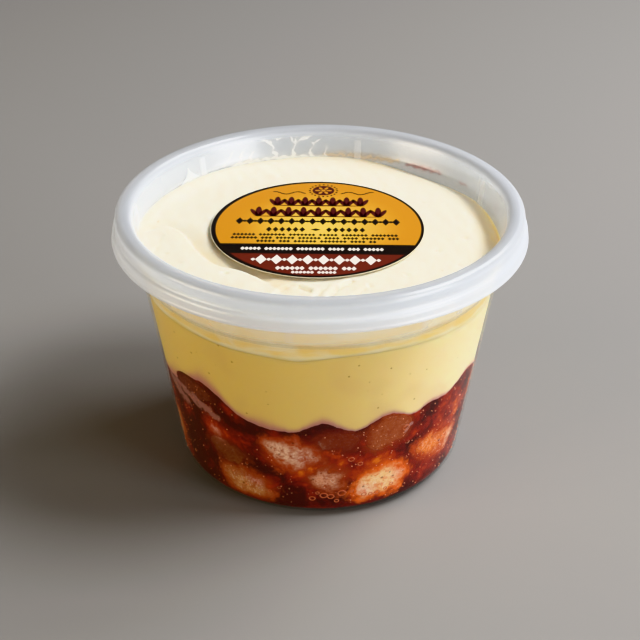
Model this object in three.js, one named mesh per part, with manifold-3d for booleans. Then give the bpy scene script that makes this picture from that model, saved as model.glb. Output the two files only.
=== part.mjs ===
// Apricot pudding in a round deli tub, shut with its press-on lid.
// From the bottom up: a dark apricot compote that holds soaked sponge and pieces of apricot, a
// yellow custard, and whipped cream that almost touches the lid. A round label lies on the lid.
//
// Millimetres, +Z up. The origin is the middle of the tub's foot ring, on the surface it stands on.
// Azimuths are in degrees from the front (-Y) towards +X, seen from above.

import * as THREE from 'three';
import { mergeVertices } from 'three/addons/utils/BufferGeometryUtils.js';
import Module from 'manifold-3d';

const wasm = await Module();
wasm.setup();

// ---------- driving dimensions ----------

const GAP = 0.3; // clearance between pieces that touch
const MERGE = 1e-4; // vertices closer than this are one
const SHELL_SEGMENTS = 44; // facets round the tub, the lid and the label
const LAYER_SEGMENTS = 64; // facets round the three layers

const WALL = 0.9; // tub wall and base
const FLOOR_LINE_RADIUS = 41.8; // the outer wall's straight line, carried down to the floor
const TAPER = 0.156; // outwards for each millimetre up
const HEEL_RADIUS = 5.2; // rounding between the base and the wall
const HEEL_STEPS = 4; // facets of that rounding
const RECESS = { radius: 33, edge: 33.7, depth: 0.8 }; // hollow under the base, inside the foot ring
const SHOULDER = { low: 62.2, high: 63.4, step: 0.6 }; // where the wall widens into the collar
const BEAD = { // rolled rim of the tub: its middle, the radius of its roll and where the roll runs
  radius: 54.95, height: 76.5, thick: 1.5, rise: 0.3, from: -95, to: 150, steps: 6, foot: 1.6
};

// The stacking ribs in the collar: full depth up to the middle, and almost none at the top.
const RIB = { width: 2, depth: 0.5, topDepth: 0.05, root: 0.4, middle: 71.8, top: 75.8 };
const RIB_AZIMUTHS = [-9, 32, 46, 83, 114, 167, 223, 265, 308];

const PANEL = { underside: 70.4, top: 71.2 }; // the lid's clear window
const PLUG = { // the wall that dips into the tub
  lowRadius: 51.5, lowHeight: 71.8, highRadius: 52.75, highHeight: 76.8, wall: 0.45, corner: 0.6
};
const CREST = { // the lid's round top edge, and how its two faces fall towards the plug
  top: 79.3, inner: 54.9, outer: 55.9, thick: 1,
  fall: [[1, 0.25], [1.7, 1.1]], underFall: [[1.15, 0.35], [0.6, 0]]
};
const BAND = { radius: 57.85, shoulder: 1.9, wall: 0.9, foot: 74.7 }; // upright part of the lid's edge
const CATCH = { rise: 1, reach: 0.6, fall: 0.8, back: 0.5 }; // ridge that grips under the tub's rim
const SKIRT = {
  radius: 58.9, top: 74.3, ledge: 0.2, slope: 0.15, innerTop: 73.2, wall: 0.85,
  lip: 59.1, lipTop: 71.7, lipSlope: 0.3, bevel: 0.25, bottom: 70.8
};
const LABEL = { radius: 30.5, thickness: 0.2, lift: 0.1, shiftX: -0.7 };

const CUSTARD_TOP = 57.8; // the wavy line between custard and cream
const CUSTARD_RIPPLES = [[0.5, 3, 57], [0.3, 5, 0]]; // [height, waves round the tub, phase in degrees]
const CREAM_TOP = 69.6; // the cream's edge at the collar
const CREAM_LIMIT = 70.05; // nothing of the cream is higher: the lid is just above it

// The compote's wavy top edge at the tub's wall: crests as [azimuth, rise, half-width].
const COMPOTE_BASE = 31.2;
const COMPOTE_MIDDLE = 33.4; // its height on the tub's axis
const COMPOTE_ROW = 17; // height of the vertices half way up its side
const CUSTARD_ROW = 48; // and of those half way up the custard's side
const COMPOTE_CRESTS = [
  [-45, 9.4, 15], [1, 3.9, 7], [24, 4.5, 8], [41, 3, 7], [62, 5.5, 13],
  [90, 2.5, 9], [112, 4.2, 10], [133, 1.5, 7], [152, 5.2, 9], [176, 3, 8],
  [198, 6, 10], [222, 2.6, 8], [245, 4.4, 9], [268, 3, 9], [290, 2, 9]
];

// Pieces that show through the front of the tub, flat against its wall.
// Azimuth and height of the middle, width along the wall, height, and tilt of the right end upwards.
const SEEN_PIECES = [
  { name: 'sponge_middle', kind: 'sponge', azimuth: -10.5, height: 23.6, width: 15, tall: 10.6, tilt: -8 },
  { name: 'sponge_small', kind: 'sponge', azimuth: 2.6, height: 14.6, width: 8.6, tall: 7.8, tilt: -25 },
  { name: 'sponge_left', kind: 'sponge', azimuth: -29, height: 9.4, width: 16.5, tall: 9.6, tilt: -6 },
  { name: 'sponge_right', kind: 'sponge', azimuth: 23.5, height: 11.6, width: 16, tall: 11.5, tilt: 14 },
  { name: 'sponge_side', kind: 'sponge', azimuth: 50.5, height: 16.2, width: 17.5, tall: 9.6, tilt: -14 },
  { name: 'sponge_far_left', kind: 'sponge', azimuth: -73, height: 13, width: 8, tall: 13, tilt: 0 },
  { name: 'sponge_scrap', kind: 'sponge', azimuth: -41.5, height: 25.6, width: 6, tall: 3.6, tilt: -20 },
  { name: 'apricot_right', kind: 'apricot', azimuth: 24.5, height: 29, width: 14.5, tall: 10.5, tilt: 22 },
  { name: 'apricot_left', kind: 'apricot', azimuth: -50, height: 36.8, width: 16, tall: 6.6, tilt: 0 },
  { name: 'apricot_low', kind: 'apricot', azimuth: -36.5, height: 19, width: 12, tall: 7.6, tilt: -10 },
  { name: 'apricot_middle', kind: 'apricot', azimuth: 6.5, height: 28, width: 11, tall: 7, tilt: 0 }
];

// The far side, which repeats the same mix: high and low pieces by turns, at a steady step.
const FAR_PIECES = {
  seed: 7, count: 9, first: 84, step: 22.5, jitter: 3, low: 10.5, high: 24.5, rise: 1.5,
  width: [12, 16], tall: [7.5, 10], tilt: 16
};
const PIECE_DEPTH = 12; // how far a piece reaches in from the wall
const PIECE_DETAIL = 1; // splits of the lump's faces, kept low so that the pockets stay light
const PIECE_INSET = 0.3; // share of its half depth that its middle lies inside the wall
const SQUARENESS = { sponge: 2.8, apricot: 2 }; // 2 is an ellipsoid, more is boxier
const ROUGHNESS = { sponge: 0.12, apricot: 0.05 }; // unevenness, as a share of the size

// The cream's surface: one thick fold left of the label, and a fall towards the wall on the right.
const FOLD_STEPS = 40; // straight steps along its path
const FOLD_PATH = [
  [-49.6, -2], [-45.4, 2], [-40.3, -1], [-34.8, -12.7], [-28.7, -21.3], [-21.6, -24.8], [-14.2, -31.6]
];
const FOLD = { crest: 0.35, drop: 1.8, steep: 1.6, trough: 8, fade: 9, startShare: 0.15, endShare: 0.9 };
const DIPS = [ // [azimuth, half-width, depth, radius where it starts]
  [90, 17, 3.4, 42.5], [137, 15, 2.6, 46.5]
];
const UNDER_LABEL = { inner: 21, outer: 36, hollow: 0.3 }; // it is a little lower in the middle
const SWELL = { height: 0.2, lengthX: 9, lengthY: 11, phaseX: 0.6, phaseY: 1.1 }; // slow unevenness

// ---------- materials ----------

const clearPlastic = new THREE.MeshStandardMaterial({ color: 0xe6e9ea, roughness: 0.2, metalness: 0,
  transparent: true, opacity: 0.35 });
const lidPlastic = new THREE.MeshStandardMaterial({ color: 0xd9dcdf, roughness: 0.3, metalness: 0,
  transparent: true, opacity: 0.6 });
const labelPaper = new THREE.MeshStandardMaterial({ color: 0xd5952e, roughness: 0.4, metalness: 0 });
const cream = new THREE.MeshStandardMaterial({ color: 0xf6f3e5, roughness: 0.6, metalness: 0 });
const custard = new THREE.MeshStandardMaterial({ color: 0xecd28a, roughness: 0.5, metalness: 0 });
const compote = new THREE.MeshStandardMaterial({ color: 0x6b1b0c, roughness: 0.3, metalness: 0 });
const pieceMaterials = {
  sponge: new THREE.MeshStandardMaterial({ color: 0xd08a50, roughness: 0.7, metalness: 0 }),
  apricot: new THREE.MeshStandardMaterial({ color: 0x994c2f, roughness: 0.4, metalness: 0 })
};

// ---------- small helpers ----------

const radians = THREE.MathUtils.degToRad;
const { clamp, lerp, smoothstep } = THREE.MathUtils;
const WALL_LEAN = THREE.MathUtils.radToDeg(Math.atan(TAPER)); // degrees off the vertical

// A repeatable stream of random numbers from 0 to 1.
function randomStream(seed) {
  let state = seed;
  return () => {
    state = (state * 1664525 + 1013904223) % 4294967296;
    return state / 4294967296;
  };
}

// Points [radius, height] of a round stretch of an outline.
function arc(radius, height, size, from, to, steps) {
  return Array.from({ length: steps + 1 }, (_, i) => {
    const angle = radians(lerp(from, to, i / steps));
    return [radius + size * Math.cos(angle), height + size * Math.sin(angle)];
  });
}

// Difference of two azimuths, from -180 to 180 degrees.
function turn(azimuth, centre) {
  return THREE.MathUtils.euclideanModulo(azimuth - centre + 180, 360) - 180;
}

function bell(distance, width) {
  return Math.exp(-((distance / width) ** 2));
}

// A turned shape from [radius, height] points that run outwards and up, back to the axis.
function turned(points, segments) {
  const outline = points.map(([radius, height]) => new THREE.Vector2(radius, height));
  return new THREE.LatheGeometry(outline, segments).rotateX(Math.PI / 2);
}

// Turns a geometry into a solid: shared vertices are merged and collapsed triangles dropped.
function toSolid(geometry) {
  const bare = new THREE.BufferGeometry();
  bare.setAttribute('position', geometry.getAttribute('position'));
  bare.setIndex(geometry.getIndex());
  const merged = mergeVertices(bare, MERGE);
  const index = merged.getIndex().array;
  const triangles = [];
  for (let i = 0; i < index.length; i += 3) {
    const [a, b, c] = index.subarray(i, i + 3);
    if (a !== b && b !== c && c !== a) triangles.push(a, b, c);
  }
  return new wasm.Manifold(new wasm.Mesh({
    numProp: 3,
    vertProperties: new Float32Array(merged.getAttribute('position').array),
    triVerts: new Uint32Array(triangles)
  }));
}

function toGeometry(solid) {
  const mesh = solid.getMesh();
  const geometry = new THREE.BufferGeometry();
  geometry.setAttribute('position', new THREE.BufferAttribute(mesh.vertProperties, 3));
  geometry.setIndex(new THREE.BufferAttribute(mesh.triVerts, 1));
  geometry.computeVertexNormals();
  return geometry;
}

// ---------- the tub's inside, which everything else is fitted to ----------

const HEEL_CENTRE = FLOOR_LINE_RADIUS + TAPER * HEEL_RADIUS - HEEL_RADIUS / Math.cos(radians(WALL_LEAN));

// Radius of the surface that lies `inset` inside the tub's outer face, at a height.
function wallRadius(height, inset) {
  if (height < HEEL_RADIUS * (1 - TAPER)) {
    const reach = HEEL_RADIUS - inset;
    const drop = Math.min(HEEL_RADIUS - height, reach);
    return HEEL_CENTRE + Math.sqrt(reach ** 2 - drop ** 2);
  }
  const widened = SHOULDER.step * clamp((height - SHOULDER.low) / (SHOULDER.high - SHOULDER.low), 0, 1);
  return FLOOR_LINE_RADIUS + TAPER * height + widened - inset / Math.cos(radians(WALL_LEAN));
}

const contentsRadius = height => wallRadius(height, WALL + GAP);

// ---------- tub ----------

function tubOutline() {
  const outer = height => [wallRadius(height, 0), height];
  const inner = height => [wallRadius(height, WALL), height];
  return [
    [0, RECESS.depth], [RECESS.radius, RECESS.depth], [RECESS.edge, 0],
    ...arc(HEEL_CENTRE, HEEL_RADIUS, HEEL_RADIUS, -90, -WALL_LEAN, HEEL_STEPS),
    outer(SHOULDER.low), outer(SHOULDER.high), outer(BEAD.height - BEAD.foot),
    ...arc(BEAD.radius, BEAD.height, BEAD.thick, BEAD.from, BEAD.to, BEAD.steps),
    inner(BEAD.height + BEAD.rise), inner(SHOULDER.high), inner(SHOULDER.low),
    ...arc(HEEL_CENTRE, HEEL_RADIUS, HEEL_RADIUS - WALL, -WALL_LEAN, -90, HEEL_STEPS),
    [RECESS.edge + WALL, WALL], [RECESS.radius, RECESS.depth + WALL], [0, RECESS.depth + WALL]
  ];
}

// One stacking rib: an upright bar whose inner face leans out, so that the lid's plug clears it.
// `grow` makes it fatter, for the room that the cream leaves round it.
function rib(azimuth, grow = 0) {
  const face = (height, depth) => new THREE.Vector2(wallRadius(height, WALL) - depth - grow, height);
  const root = height => new THREE.Vector2(wallRadius(height, WALL) + RIB.root, height);
  const outline = new THREE.Shape([
    root(SHOULDER.high), face(SHOULDER.high, RIB.depth), face(RIB.middle, RIB.depth),
    face(RIB.top, RIB.topDepth), root(RIB.top)
  ]);
  const width = RIB.width + 2 * grow;
  return new THREE.ExtrudeGeometry(outline, { depth: width, bevelEnabled: false })
    .translate(0, 0, -width / 2)
    .rotateX(Math.PI / 2)
    .rotateZ(radians(azimuth) - Math.PI / 2);
}

function makeTub() {
  return RIB_AZIMUTHS.reduce(
    (solid, azimuth) => solid.add(toSolid(rib(azimuth))),
    toSolid(turned(tubOutline(), SHELL_SEGMENTS))
  );
}

// ---------- lid and label ----------

function lidOutline() {
  const bandInner = BAND.radius - BAND.wall;
  const skirtInner = SKIRT.radius - SKIRT.wall;
  const crestUnder = CREST.top - CREST.thick;
  const shoulderHeight = CREST.top - BAND.shoulder;
  const inwards = height => ([reach, drop]) => [CREST.inner - reach, height - drop];
  return [
    [0, PANEL.underside], [PLUG.lowRadius - PLUG.corner + PLUG.wall, PANEL.underside],
    [PLUG.lowRadius + PLUG.wall, PLUG.lowHeight], [PLUG.highRadius + PLUG.wall, PLUG.highHeight],
    ...CREST.underFall.map(inwards(crestUnder)), [CREST.outer, crestUnder],
    [bandInner, shoulderHeight], [bandInner, BAND.foot + CATCH.rise],
    [bandInner - CATCH.reach, BAND.foot], [bandInner + CATCH.back, BAND.foot - CATCH.fall],
    [skirtInner, SKIRT.innerTop], [skirtInner, SKIRT.bottom], [SKIRT.lip - SKIRT.bevel, SKIRT.bottom],
    [SKIRT.lip, SKIRT.bottom + SKIRT.bevel], [SKIRT.lip, SKIRT.lipTop],
    [SKIRT.radius, SKIRT.lipTop + SKIRT.lipSlope],
    [SKIRT.radius - SKIRT.slope, SKIRT.top - SKIRT.ledge], [BAND.radius - SKIRT.slope, BAND.foot],
    ...arc(BAND.radius - BAND.shoulder, shoulderHeight, BAND.shoulder, 0, 90, 4),
    [CREST.inner, CREST.top], ...CREST.fall.map(inwards(CREST.top)),
    [PLUG.highRadius, PLUG.highHeight], [PLUG.lowRadius, PLUG.lowHeight],
    [PLUG.lowRadius - PLUG.corner, PANEL.top], [0, PANEL.top]
  ];
}

function makeLabel() {
  const bottom = PANEL.top + LABEL.lift;
  const top = bottom + LABEL.thickness;
  const disc = [[0, bottom], [LABEL.radius, bottom], [LABEL.radius, top], [0, top]];
  return toSolid(turned(disc, SHELL_SEGMENTS).translate(LABEL.shiftX, 0, 0));
}

// ---------- layers ----------

// The compote's top: waves at the wall that die down towards the axis.
function compoteTop(share, azimuth) {
  const wave = COMPOTE_CRESTS.reduce(
    (height, [centre, rise, width]) => height + rise * bell(turn(azimuth, centre), width),
    COMPOTE_BASE
  );
  return lerp(COMPOTE_MIDDLE, wave, share ** 2);
}

function custardTop(share, azimuth) {
  const ripple = CUSTARD_RIPPLES.reduce(
    (height, [swing, waves, phase]) => height + swing * Math.sin(radians(waves * azimuth + phase)), 0
  );
  return CUSTARD_TOP + ripple * share ** 2;
}

// Where the point (x, y) lies from the fold's path: the distance, which is negative on the label's
// side, and how far along the path it is, from 0 to 1.
const foldCurve = new THREE.SplineCurve(FOLD_PATH.map(([x, y]) => new THREE.Vector2(x, y)));
const foldPoints = foldCurve.getPoints(FOLD_STEPS);

function besideFold(x, y) {
  let best = { distance: Infinity, side: 1, along: 0 };
  for (let i = 1; i < foldPoints.length; i++) {
    const start = foldPoints[i - 1];
    const step = foldPoints[i].clone().sub(start);
    const offset = new THREE.Vector2(x, y).sub(start);
    const share = clamp(offset.dot(step) / step.lengthSq(), 0, 1);
    const distance = offset.clone().addScaledVector(step, -share).length();
    if (distance < best.distance) {
      const along = (i - 1 + share) / (foldPoints.length - 1);
      best = { distance, side: -Math.sign(step.cross(offset)), along };
    }
  }
  return { distance: best.side * best.distance, along: best.along };
}

// The fold: a soft crest on the wall's side of the path, a steep drop and a trough beside the label.
function foldHeight(x, y) {
  const { distance, along } = besideFold(x, y);
  const strength = smoothstep(along, 0, FOLD.startShare) * (1 - smoothstep(along, FOLD.endShare, 1));
  const crest = FOLD.crest * bell(distance - FOLD.steep, FOLD.fade);
  const wall = smoothstep(-distance, 0, FOLD.steep);
  const recovery = 1 - smoothstep(-distance, 0, FOLD.trough);
  return strength * (crest - FOLD.drop * wall * recovery);
}

function dipDepth(radius, azimuth, edge) {
  return DIPS.reduce((depth, [centre, width, fall, start]) => {
    const across = bell(turn(azimuth, centre), width) ** 0.5;
    const outwards = smoothstep(radius, start, edge + 1);
    return depth + fall * across * outwards;
  }, 0);
}

function creamTop(share, azimuth) {
  const edge = contentsRadius(CREAM_TOP);
  const radius = share * edge;
  const x = radius * Math.sin(radians(azimuth));
  const y = -radius * Math.cos(radians(azimuth));
  const middleDrop = UNDER_LABEL.hollow * (1 - smoothstep(radius, UNDER_LABEL.inner, UNDER_LABEL.outer));
  const waveX = Math.sin(x / SWELL.lengthX + SWELL.phaseX);
  const waveY = Math.cos(y / SWELL.lengthY + SWELL.phaseY);
  const swell = SWELL.height * waveX * waveY;
  const height = CREAM_TOP + swell + foldHeight(x, y) - middleDrop - dipDepth(radius, azimuth, edge);
  return Math.min(height, CREAM_LIMIT);
}

function tubFloor(share) {
  const raised = share * HEEL_CENTRE <= RECESS.radius + 0.01;
  return WALL + GAP + (raised ? RECESS.depth : 0);
}

// A layer from `bottom` to `top`, two heights that depend on the share of the radius (0 on the axis,
// 1 at the wall) and the azimuth. It follows the inside of the tub, a GAP clear of it. A plain
// turned cylinder is made first, with a row of vertices for each height in `wallHeights`, and then
// each vertex moves to its place.
function layer({ bottom, bottomShares, wallHeights, top, topShares }) {
  const rows = wallHeights.length + 1;
  const outline = [
    ...bottomShares.map(share => new THREE.Vector2(share, 0)),
    ...wallHeights.map((_, i) => new THREE.Vector2(1, i + 1)),
    ...topShares.map(share => new THREE.Vector2(share, rows))
  ];
  const geometry = new THREE.LatheGeometry(outline, LAYER_SEGMENTS);
  const position = geometry.getAttribute('position');
  for (let i = 0; i < position.count; i++) {
    const share = Math.hypot(position.getX(i), position.getZ(i));
    const angle = share > 0 ? Math.atan2(position.getX(i), position.getZ(i)) : 0;
    const azimuth = THREE.MathUtils.radToDeg(angle);
    const row = Math.round(position.getY(i));
    const face = row === 0 ? bottom : top;
    const isWall = row > 0 && row < rows;
    const edge = isWall ? wallHeights[row - 1] : face(1, azimuth);
    const radius = share * contentsRadius(edge);
    const height = isWall ? edge : face(share, azimuth);
    position.setXYZ(i, radius * Math.sin(angle), -radius * Math.cos(angle), height);
  }
  return toSolid(geometry);
}

const raisedBy = (surface, lift) => (share, azimuth) => surface(share, azimuth) + lift;
const heelHeights = arc(0, HEEL_RADIUS, HEEL_RADIUS - WALL - GAP, -60, -WALL_LEAN, 2)
  .map(([, height]) => height);

function makeCompoteLayer() {
  return layer({
    bottom: tubFloor,
    bottomShares: [0, RECESS.radius / HEEL_CENTRE, (RECESS.edge + WALL) / HEEL_CENTRE, 1],
    wallHeights: [...heelHeights, COMPOTE_ROW],
    top: compoteTop,
    topShares: [1, 0.8, 0.5, 0]
  });
}

function makeCustard() {
  return layer({
    bottom: raisedBy(compoteTop, GAP),
    bottomShares: [0, 0.5, 0.8, 1],
    wallHeights: [CUSTARD_ROW],
    top: custardTop,
    topShares: [1, 0.5, 0]
  });
}

function makeCream() {
  const whole = layer({
    bottom: raisedBy(custardTop, GAP),
    bottomShares: [0, 0.5, 1],
    wallHeights: [SHOULDER.low, SHOULDER.high],
    top: creamTop,
    topShares: [1, 0.97, 0.93, 0.88, 0.83, 0.78, 0.72, 0.66, 0.58, 0.45, 0]
  });
  return RIB_AZIMUTHS.reduce((solid, azimuth) => solid.subtract(toSolid(rib(azimuth, GAP))), whole);
}

// ---------- pieces in the compote ----------

// Smooth unevenness over a lump, from -1 to 1.
function bumps({ x, y, z }, seed) {
  const first = Math.sin(3.1 * x + 2.3 * z + seed);
  const second = Math.sin(3.7 * y - 2.9 * x + 2.1 * seed);
  const third = Math.sin(4.3 * z + 3.3 * y + 1.7 * seed);
  return (first + second + third) / 3;
}

// A lump of sponge or fruit that is pressed to the wall. `grow` fattens it, for the pocket round it.
function lump({ kind, azimuth, height, width, tall, tilt, seed }, grow = 0) {
  const halves = new THREE.Vector3(width, PIECE_DEPTH, tall).multiplyScalar(0.5).addScalar(grow);
  const geometry = new THREE.IcosahedronGeometry(1, PIECE_DETAIL);
  const position = geometry.getAttribute('position');
  const point = new THREE.Vector3();
  const power = SQUARENESS[kind];
  for (let i = 0; i < position.count; i++) {
    point.fromBufferAttribute(position, i).normalize();
    const sum = Math.abs(point.x) ** power + Math.abs(point.y) ** power + Math.abs(point.z) ** power;
    const swell = sum ** (-1 / power) * (1 + ROUGHNESS[kind] * bumps(point, seed));
    point.multiply(halves).multiplyScalar(swell);
    position.setXYZ(i, point.x, point.y, point.z);
  }
  const middle = contentsRadius(height) - PIECE_INSET * PIECE_DEPTH / 2;
  const angle = radians(azimuth);
  const outwards = new THREE.Vector3(Math.sin(angle), -Math.cos(angle), 0);
  const along = new THREE.Vector3(Math.cos(angle), Math.sin(angle), 0);
  const place = new THREE.Matrix4()
    .makeBasis(along, outwards.clone().negate(), new THREE.Vector3(0, 0, 1))
    .setPosition(outwards.multiplyScalar(middle).setZ(height));
  return toSolid(geometry.rotateY(-radians(tilt)).applyMatrix4(place));
}

function farPieces() {
  const random = randomStream(FAR_PIECES.seed);
  const between = ([low, high]) => lerp(low, high, random());
  const around = spread => lerp(-spread, spread, random());
  return Array.from({ length: FAR_PIECES.count }, (_, i) => {
    const kind = i % 3 === 1 ? 'apricot' : 'sponge';
    return {
      name: `${kind}_far_${i + 1}`,
      kind,
      azimuth: FAR_PIECES.first + FAR_PIECES.step * i + around(FAR_PIECES.jitter),
      height: (i % 2 ? FAR_PIECES.low : FAR_PIECES.high) + around(FAR_PIECES.rise),
      width: between(FAR_PIECES.width),
      tall: between(FAR_PIECES.tall),
      tilt: around(FAR_PIECES.tilt)
    };
  });
}

// Each piece is trimmed to the compote and to the pieces before it, and cuts its own pocket.
function fillCompote(pieces) {
  const whole = makeCompoteLayer();
  let rest = whole;
  const parts = pieces.map((piece, i) => {
    const seeded = { ...piece, seed: 1.3 * (i + 1) };
    const solid = rest.intersect(lump(seeded));
    rest = rest.subtract(lump(seeded, GAP));
    return { name: piece.name, kind: piece.kind, solid };
  });
  return { rest, parts };
}

// ---------- the part ----------

const group = new THREE.Group();

function addMesh(name, solid, material) {
  const mesh = new THREE.Mesh(toGeometry(solid), material);
  mesh.name = name;
  group.add(mesh);
}

addMesh('tub', makeTub(), clearPlastic);
addMesh('lid', toSolid(turned(lidOutline(), SHELL_SEGMENTS)), lidPlastic);
addMesh('label', makeLabel(), labelPaper);
addMesh('cream', makeCream(), cream);
addMesh('custard', makeCustard(), custard);

const { rest, parts } = fillCompote([...SEEN_PIECES, ...farPieces()]);
addMesh('compote', rest, compote);
for (const { name, kind, solid } of parts) addMesh(name, solid, pieceMaterials[kind]);

export default group;
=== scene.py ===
"""Apricot pudding in a clear round deli tub, shut with its press-on lid.

From the bottom up: a dark apricot compote with soaked sponge and fruit at the wall, a yellow
custard, and whipped cream that almost touches the lid's window. A round label lies on the window.

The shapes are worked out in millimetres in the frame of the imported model: +Z up, -Y to the front.
Azimuths are in degrees from the front towards +X, seen from above.
"""

import math

import bmesh
import bpy
import numpy as np
from bpy.props import FloatProperty, FloatVectorProperty, IntProperty, PointerProperty
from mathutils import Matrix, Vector


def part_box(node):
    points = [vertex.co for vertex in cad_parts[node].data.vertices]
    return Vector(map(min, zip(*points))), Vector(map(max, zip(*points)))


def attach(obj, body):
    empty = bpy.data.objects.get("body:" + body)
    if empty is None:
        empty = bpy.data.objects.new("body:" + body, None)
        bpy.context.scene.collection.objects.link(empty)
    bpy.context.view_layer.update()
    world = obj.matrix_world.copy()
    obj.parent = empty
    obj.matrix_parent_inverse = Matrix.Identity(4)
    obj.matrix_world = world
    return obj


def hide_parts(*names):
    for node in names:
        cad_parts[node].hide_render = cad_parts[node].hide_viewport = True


bl_info = {
    "name": "Apricot pudding tub",
    "version": (1, 0, 0),
    "blender": (4, 5, 0),
    "location": "View3D > Sidebar > Pudding",
    "description": "Builds a layered apricot pudding in its lidded deli tub, and a small studio",
    "category": "Object",
}

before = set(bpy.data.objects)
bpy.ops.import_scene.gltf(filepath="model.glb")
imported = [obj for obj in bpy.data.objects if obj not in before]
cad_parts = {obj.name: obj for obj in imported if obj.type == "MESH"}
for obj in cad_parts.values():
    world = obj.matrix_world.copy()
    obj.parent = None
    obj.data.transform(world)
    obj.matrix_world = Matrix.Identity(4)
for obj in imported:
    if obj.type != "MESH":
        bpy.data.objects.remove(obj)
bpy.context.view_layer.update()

MM = 0.001

# ---------- sizes of the tub, as it is moulded ----------

WALL = 0.9
FLOOR_LINE_RADIUS = 41.8  # the outer wall's straight line, carried down to the floor
TAPER = 0.156
LEAN = math.atan(TAPER)
HEEL_RADIUS = 5.2
HEEL_MIDDLE = FLOOR_LINE_RADIUS + TAPER * HEEL_RADIUS - HEEL_RADIUS / math.cos(LEAN)
RECESS_RADIUS, RECESS_EDGE, RECESS_DEPTH = 33.0, 33.7, 0.8
SHOULDER_LOW, SHOULDER_HIGH, SHOULDER_STEP = 62.2, 63.4, 0.6
BEAD_RADIUS, BEAD_HEIGHT, BEAD_THICK = 54.95, 76.5, 1.5
COLLAR_FROST = 0.24  # how milky each face of the collar is, which the mould leaves rougher
RIB_AZIMUTHS = (-9, 32, 46, 83, 114, 167, 223, 265, 308)
RIB_WIDTH, RIB_DEPTH, RIB_TOP = 2.2, 0.7, 75.8

# ---------- sizes of the lid and the label ----------

WINDOW_UNDER, WINDOW_TOP = 70.85, 71.2
PLUG_LOW = (51.5, 71.8)
PLUG_HIGH = (52.75, 76.8)
PLUG_WALL = 0.45
CREST_TOP, CREST_INNER, CREST_THICK = 79.3, 54.9, 1.0
BAND_RADIUS, BAND_SHOULDER, BAND_WALL, BAND_FOOT = 57.85, 1.9, 0.9, 74.7
SKIRT_RADIUS, SKIRT_TOP, SKIRT_WALL = 58.9, 74.3, 0.85
LIP_RADIUS, LIP_TOP, LIP_BOTTOM = 59.1, 71.7, 70.8
LABEL_RADIUS, LABEL_SHIFT = 30.5, -0.7
LABEL_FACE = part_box("label")[1].z / MM
LABEL_THICK = 0.2
RIM_RADIUS, FIELD_RADIUS, FIELD_SHIFT = 30.4, 29.3, 0.25  # the printed fields
GOLD_FOOT, MAROON_TOP, GOLD_REACH = -10.9, -16.9, 26

# ---------- the food ----------

# How far each food's face reaches into the tub's wall, so that no air shows between them, and how
# far a layer reaches down into the one below it.
REACH_IN = {"compote": 0.25, "custard": 0.21, "cream": 0.18, "piece": 0.3}
SINK_IN = 0.5
CUSTARD_TOP = 57.8
CREAM_TOP, CREAM_LIMIT = 70.0, 70.7
COMPOTE_BASE, COMPOTE_MIDDLE = 31.2, 33.4
COMPOTE_CRESTS = (  # azimuth, rise and half-width of each wave at the wall
    (-45, 9.4, 15), (1, 3.9, 7), (24, 4.5, 8), (41, 3, 7), (62, 5.5, 13),
    (90, 2.5, 9), (112, 4.2, 10), (133, 1.5, 7), (152, 5.2, 9), (176, 3, 8),
    (198, 6, 10), (222, 2.6, 8), (245, 4.4, 9), (268, 3, 9), (290, 2, 9),
)

# The pieces at the front: azimuth, height, width along the wall, tall, tilt of the right end
# upwards, colour of the heart and colour of the soaked rim.
FRONT_PIECES = {
    "sponge_middle": (-10.5, 22.8, 15, 10.6, -14, "#e4b496", "#a4380c"),
    "sponge_small": (2.6, 14.4, 9.8, 8.4, -30, "#da9878", "#8e2f0a"),
    "sponge_left": (-29, 9.0, 16.5, 9.6, -10, "#bc8258", "#96340a"),
    "sponge_right": (23.5, 11.4, 16, 11.5, 16, "#f4bc7c", "#dc5c14"),
    "sponge_side": (50.5, 16.2, 17.5, 9.6, -14, "#e27828", "#a8360a"),
    "sponge_far_left": (-73, 13, 8, 13, 0, "#b07048", "#963a10"),
    "sponge_scrap": (-41.2, 25.2, 6.5, 4.2, -20, "#e6a894", "#9c280c"),
    "apricot_right": (24.5, 29, 14.5, 10.5, 22, "#9c4c2a", "#8a300e"),
    "apricot_left": (-50, 36.8, 16, 6.6, 0, "#662412", "#4c0e05"),
    "apricot_low": (-36.5, 18.6, 12, 7.6, -10, "#6c2c10", "#5c1605"),
    "apricot_middle": (6.5, 28, 11, 7, 0, "#78260a", "#6a1604"),
}
# Patches of another colour in the crumb: azimuth, height, half-width, half-height and colour.
HEART_PATCHES = (
    (59.7, 13.2, 2.0, 3.6, "#f6e2c0"), (53, 13.5, 2.6, 3.4, "#b8480e"), (22.6, 11.6, 4.4, 3.2, "#f4c88c"),
    (16.6, 8.4, 3.4, 2.6, "#eec0a0"), (31.4, 12.4, 2.6, 3.2, "#eebc96"), (-5.2, 22.0, 3.2, 2.8, "#b87460"),
    (-25.5, 10.6, 4.2, 2.2, "#be786c"), (-31, 7.4, 3.0, 3.0, "#cc9468"),
)
FAR_HEARTS = {"sponge": ("#d29a70", "#b04a14"), "apricot": ("#8a4220", "#701e0a")}
PIECE_DEPTH, POCKET_DEPTH = 10, 2.5
SQUARENESS = {"sponge": 2.6, "apricot": 2.0}
RAGGEDNESS = {"sponge": 0.1, "apricot": 0.04}

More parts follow.
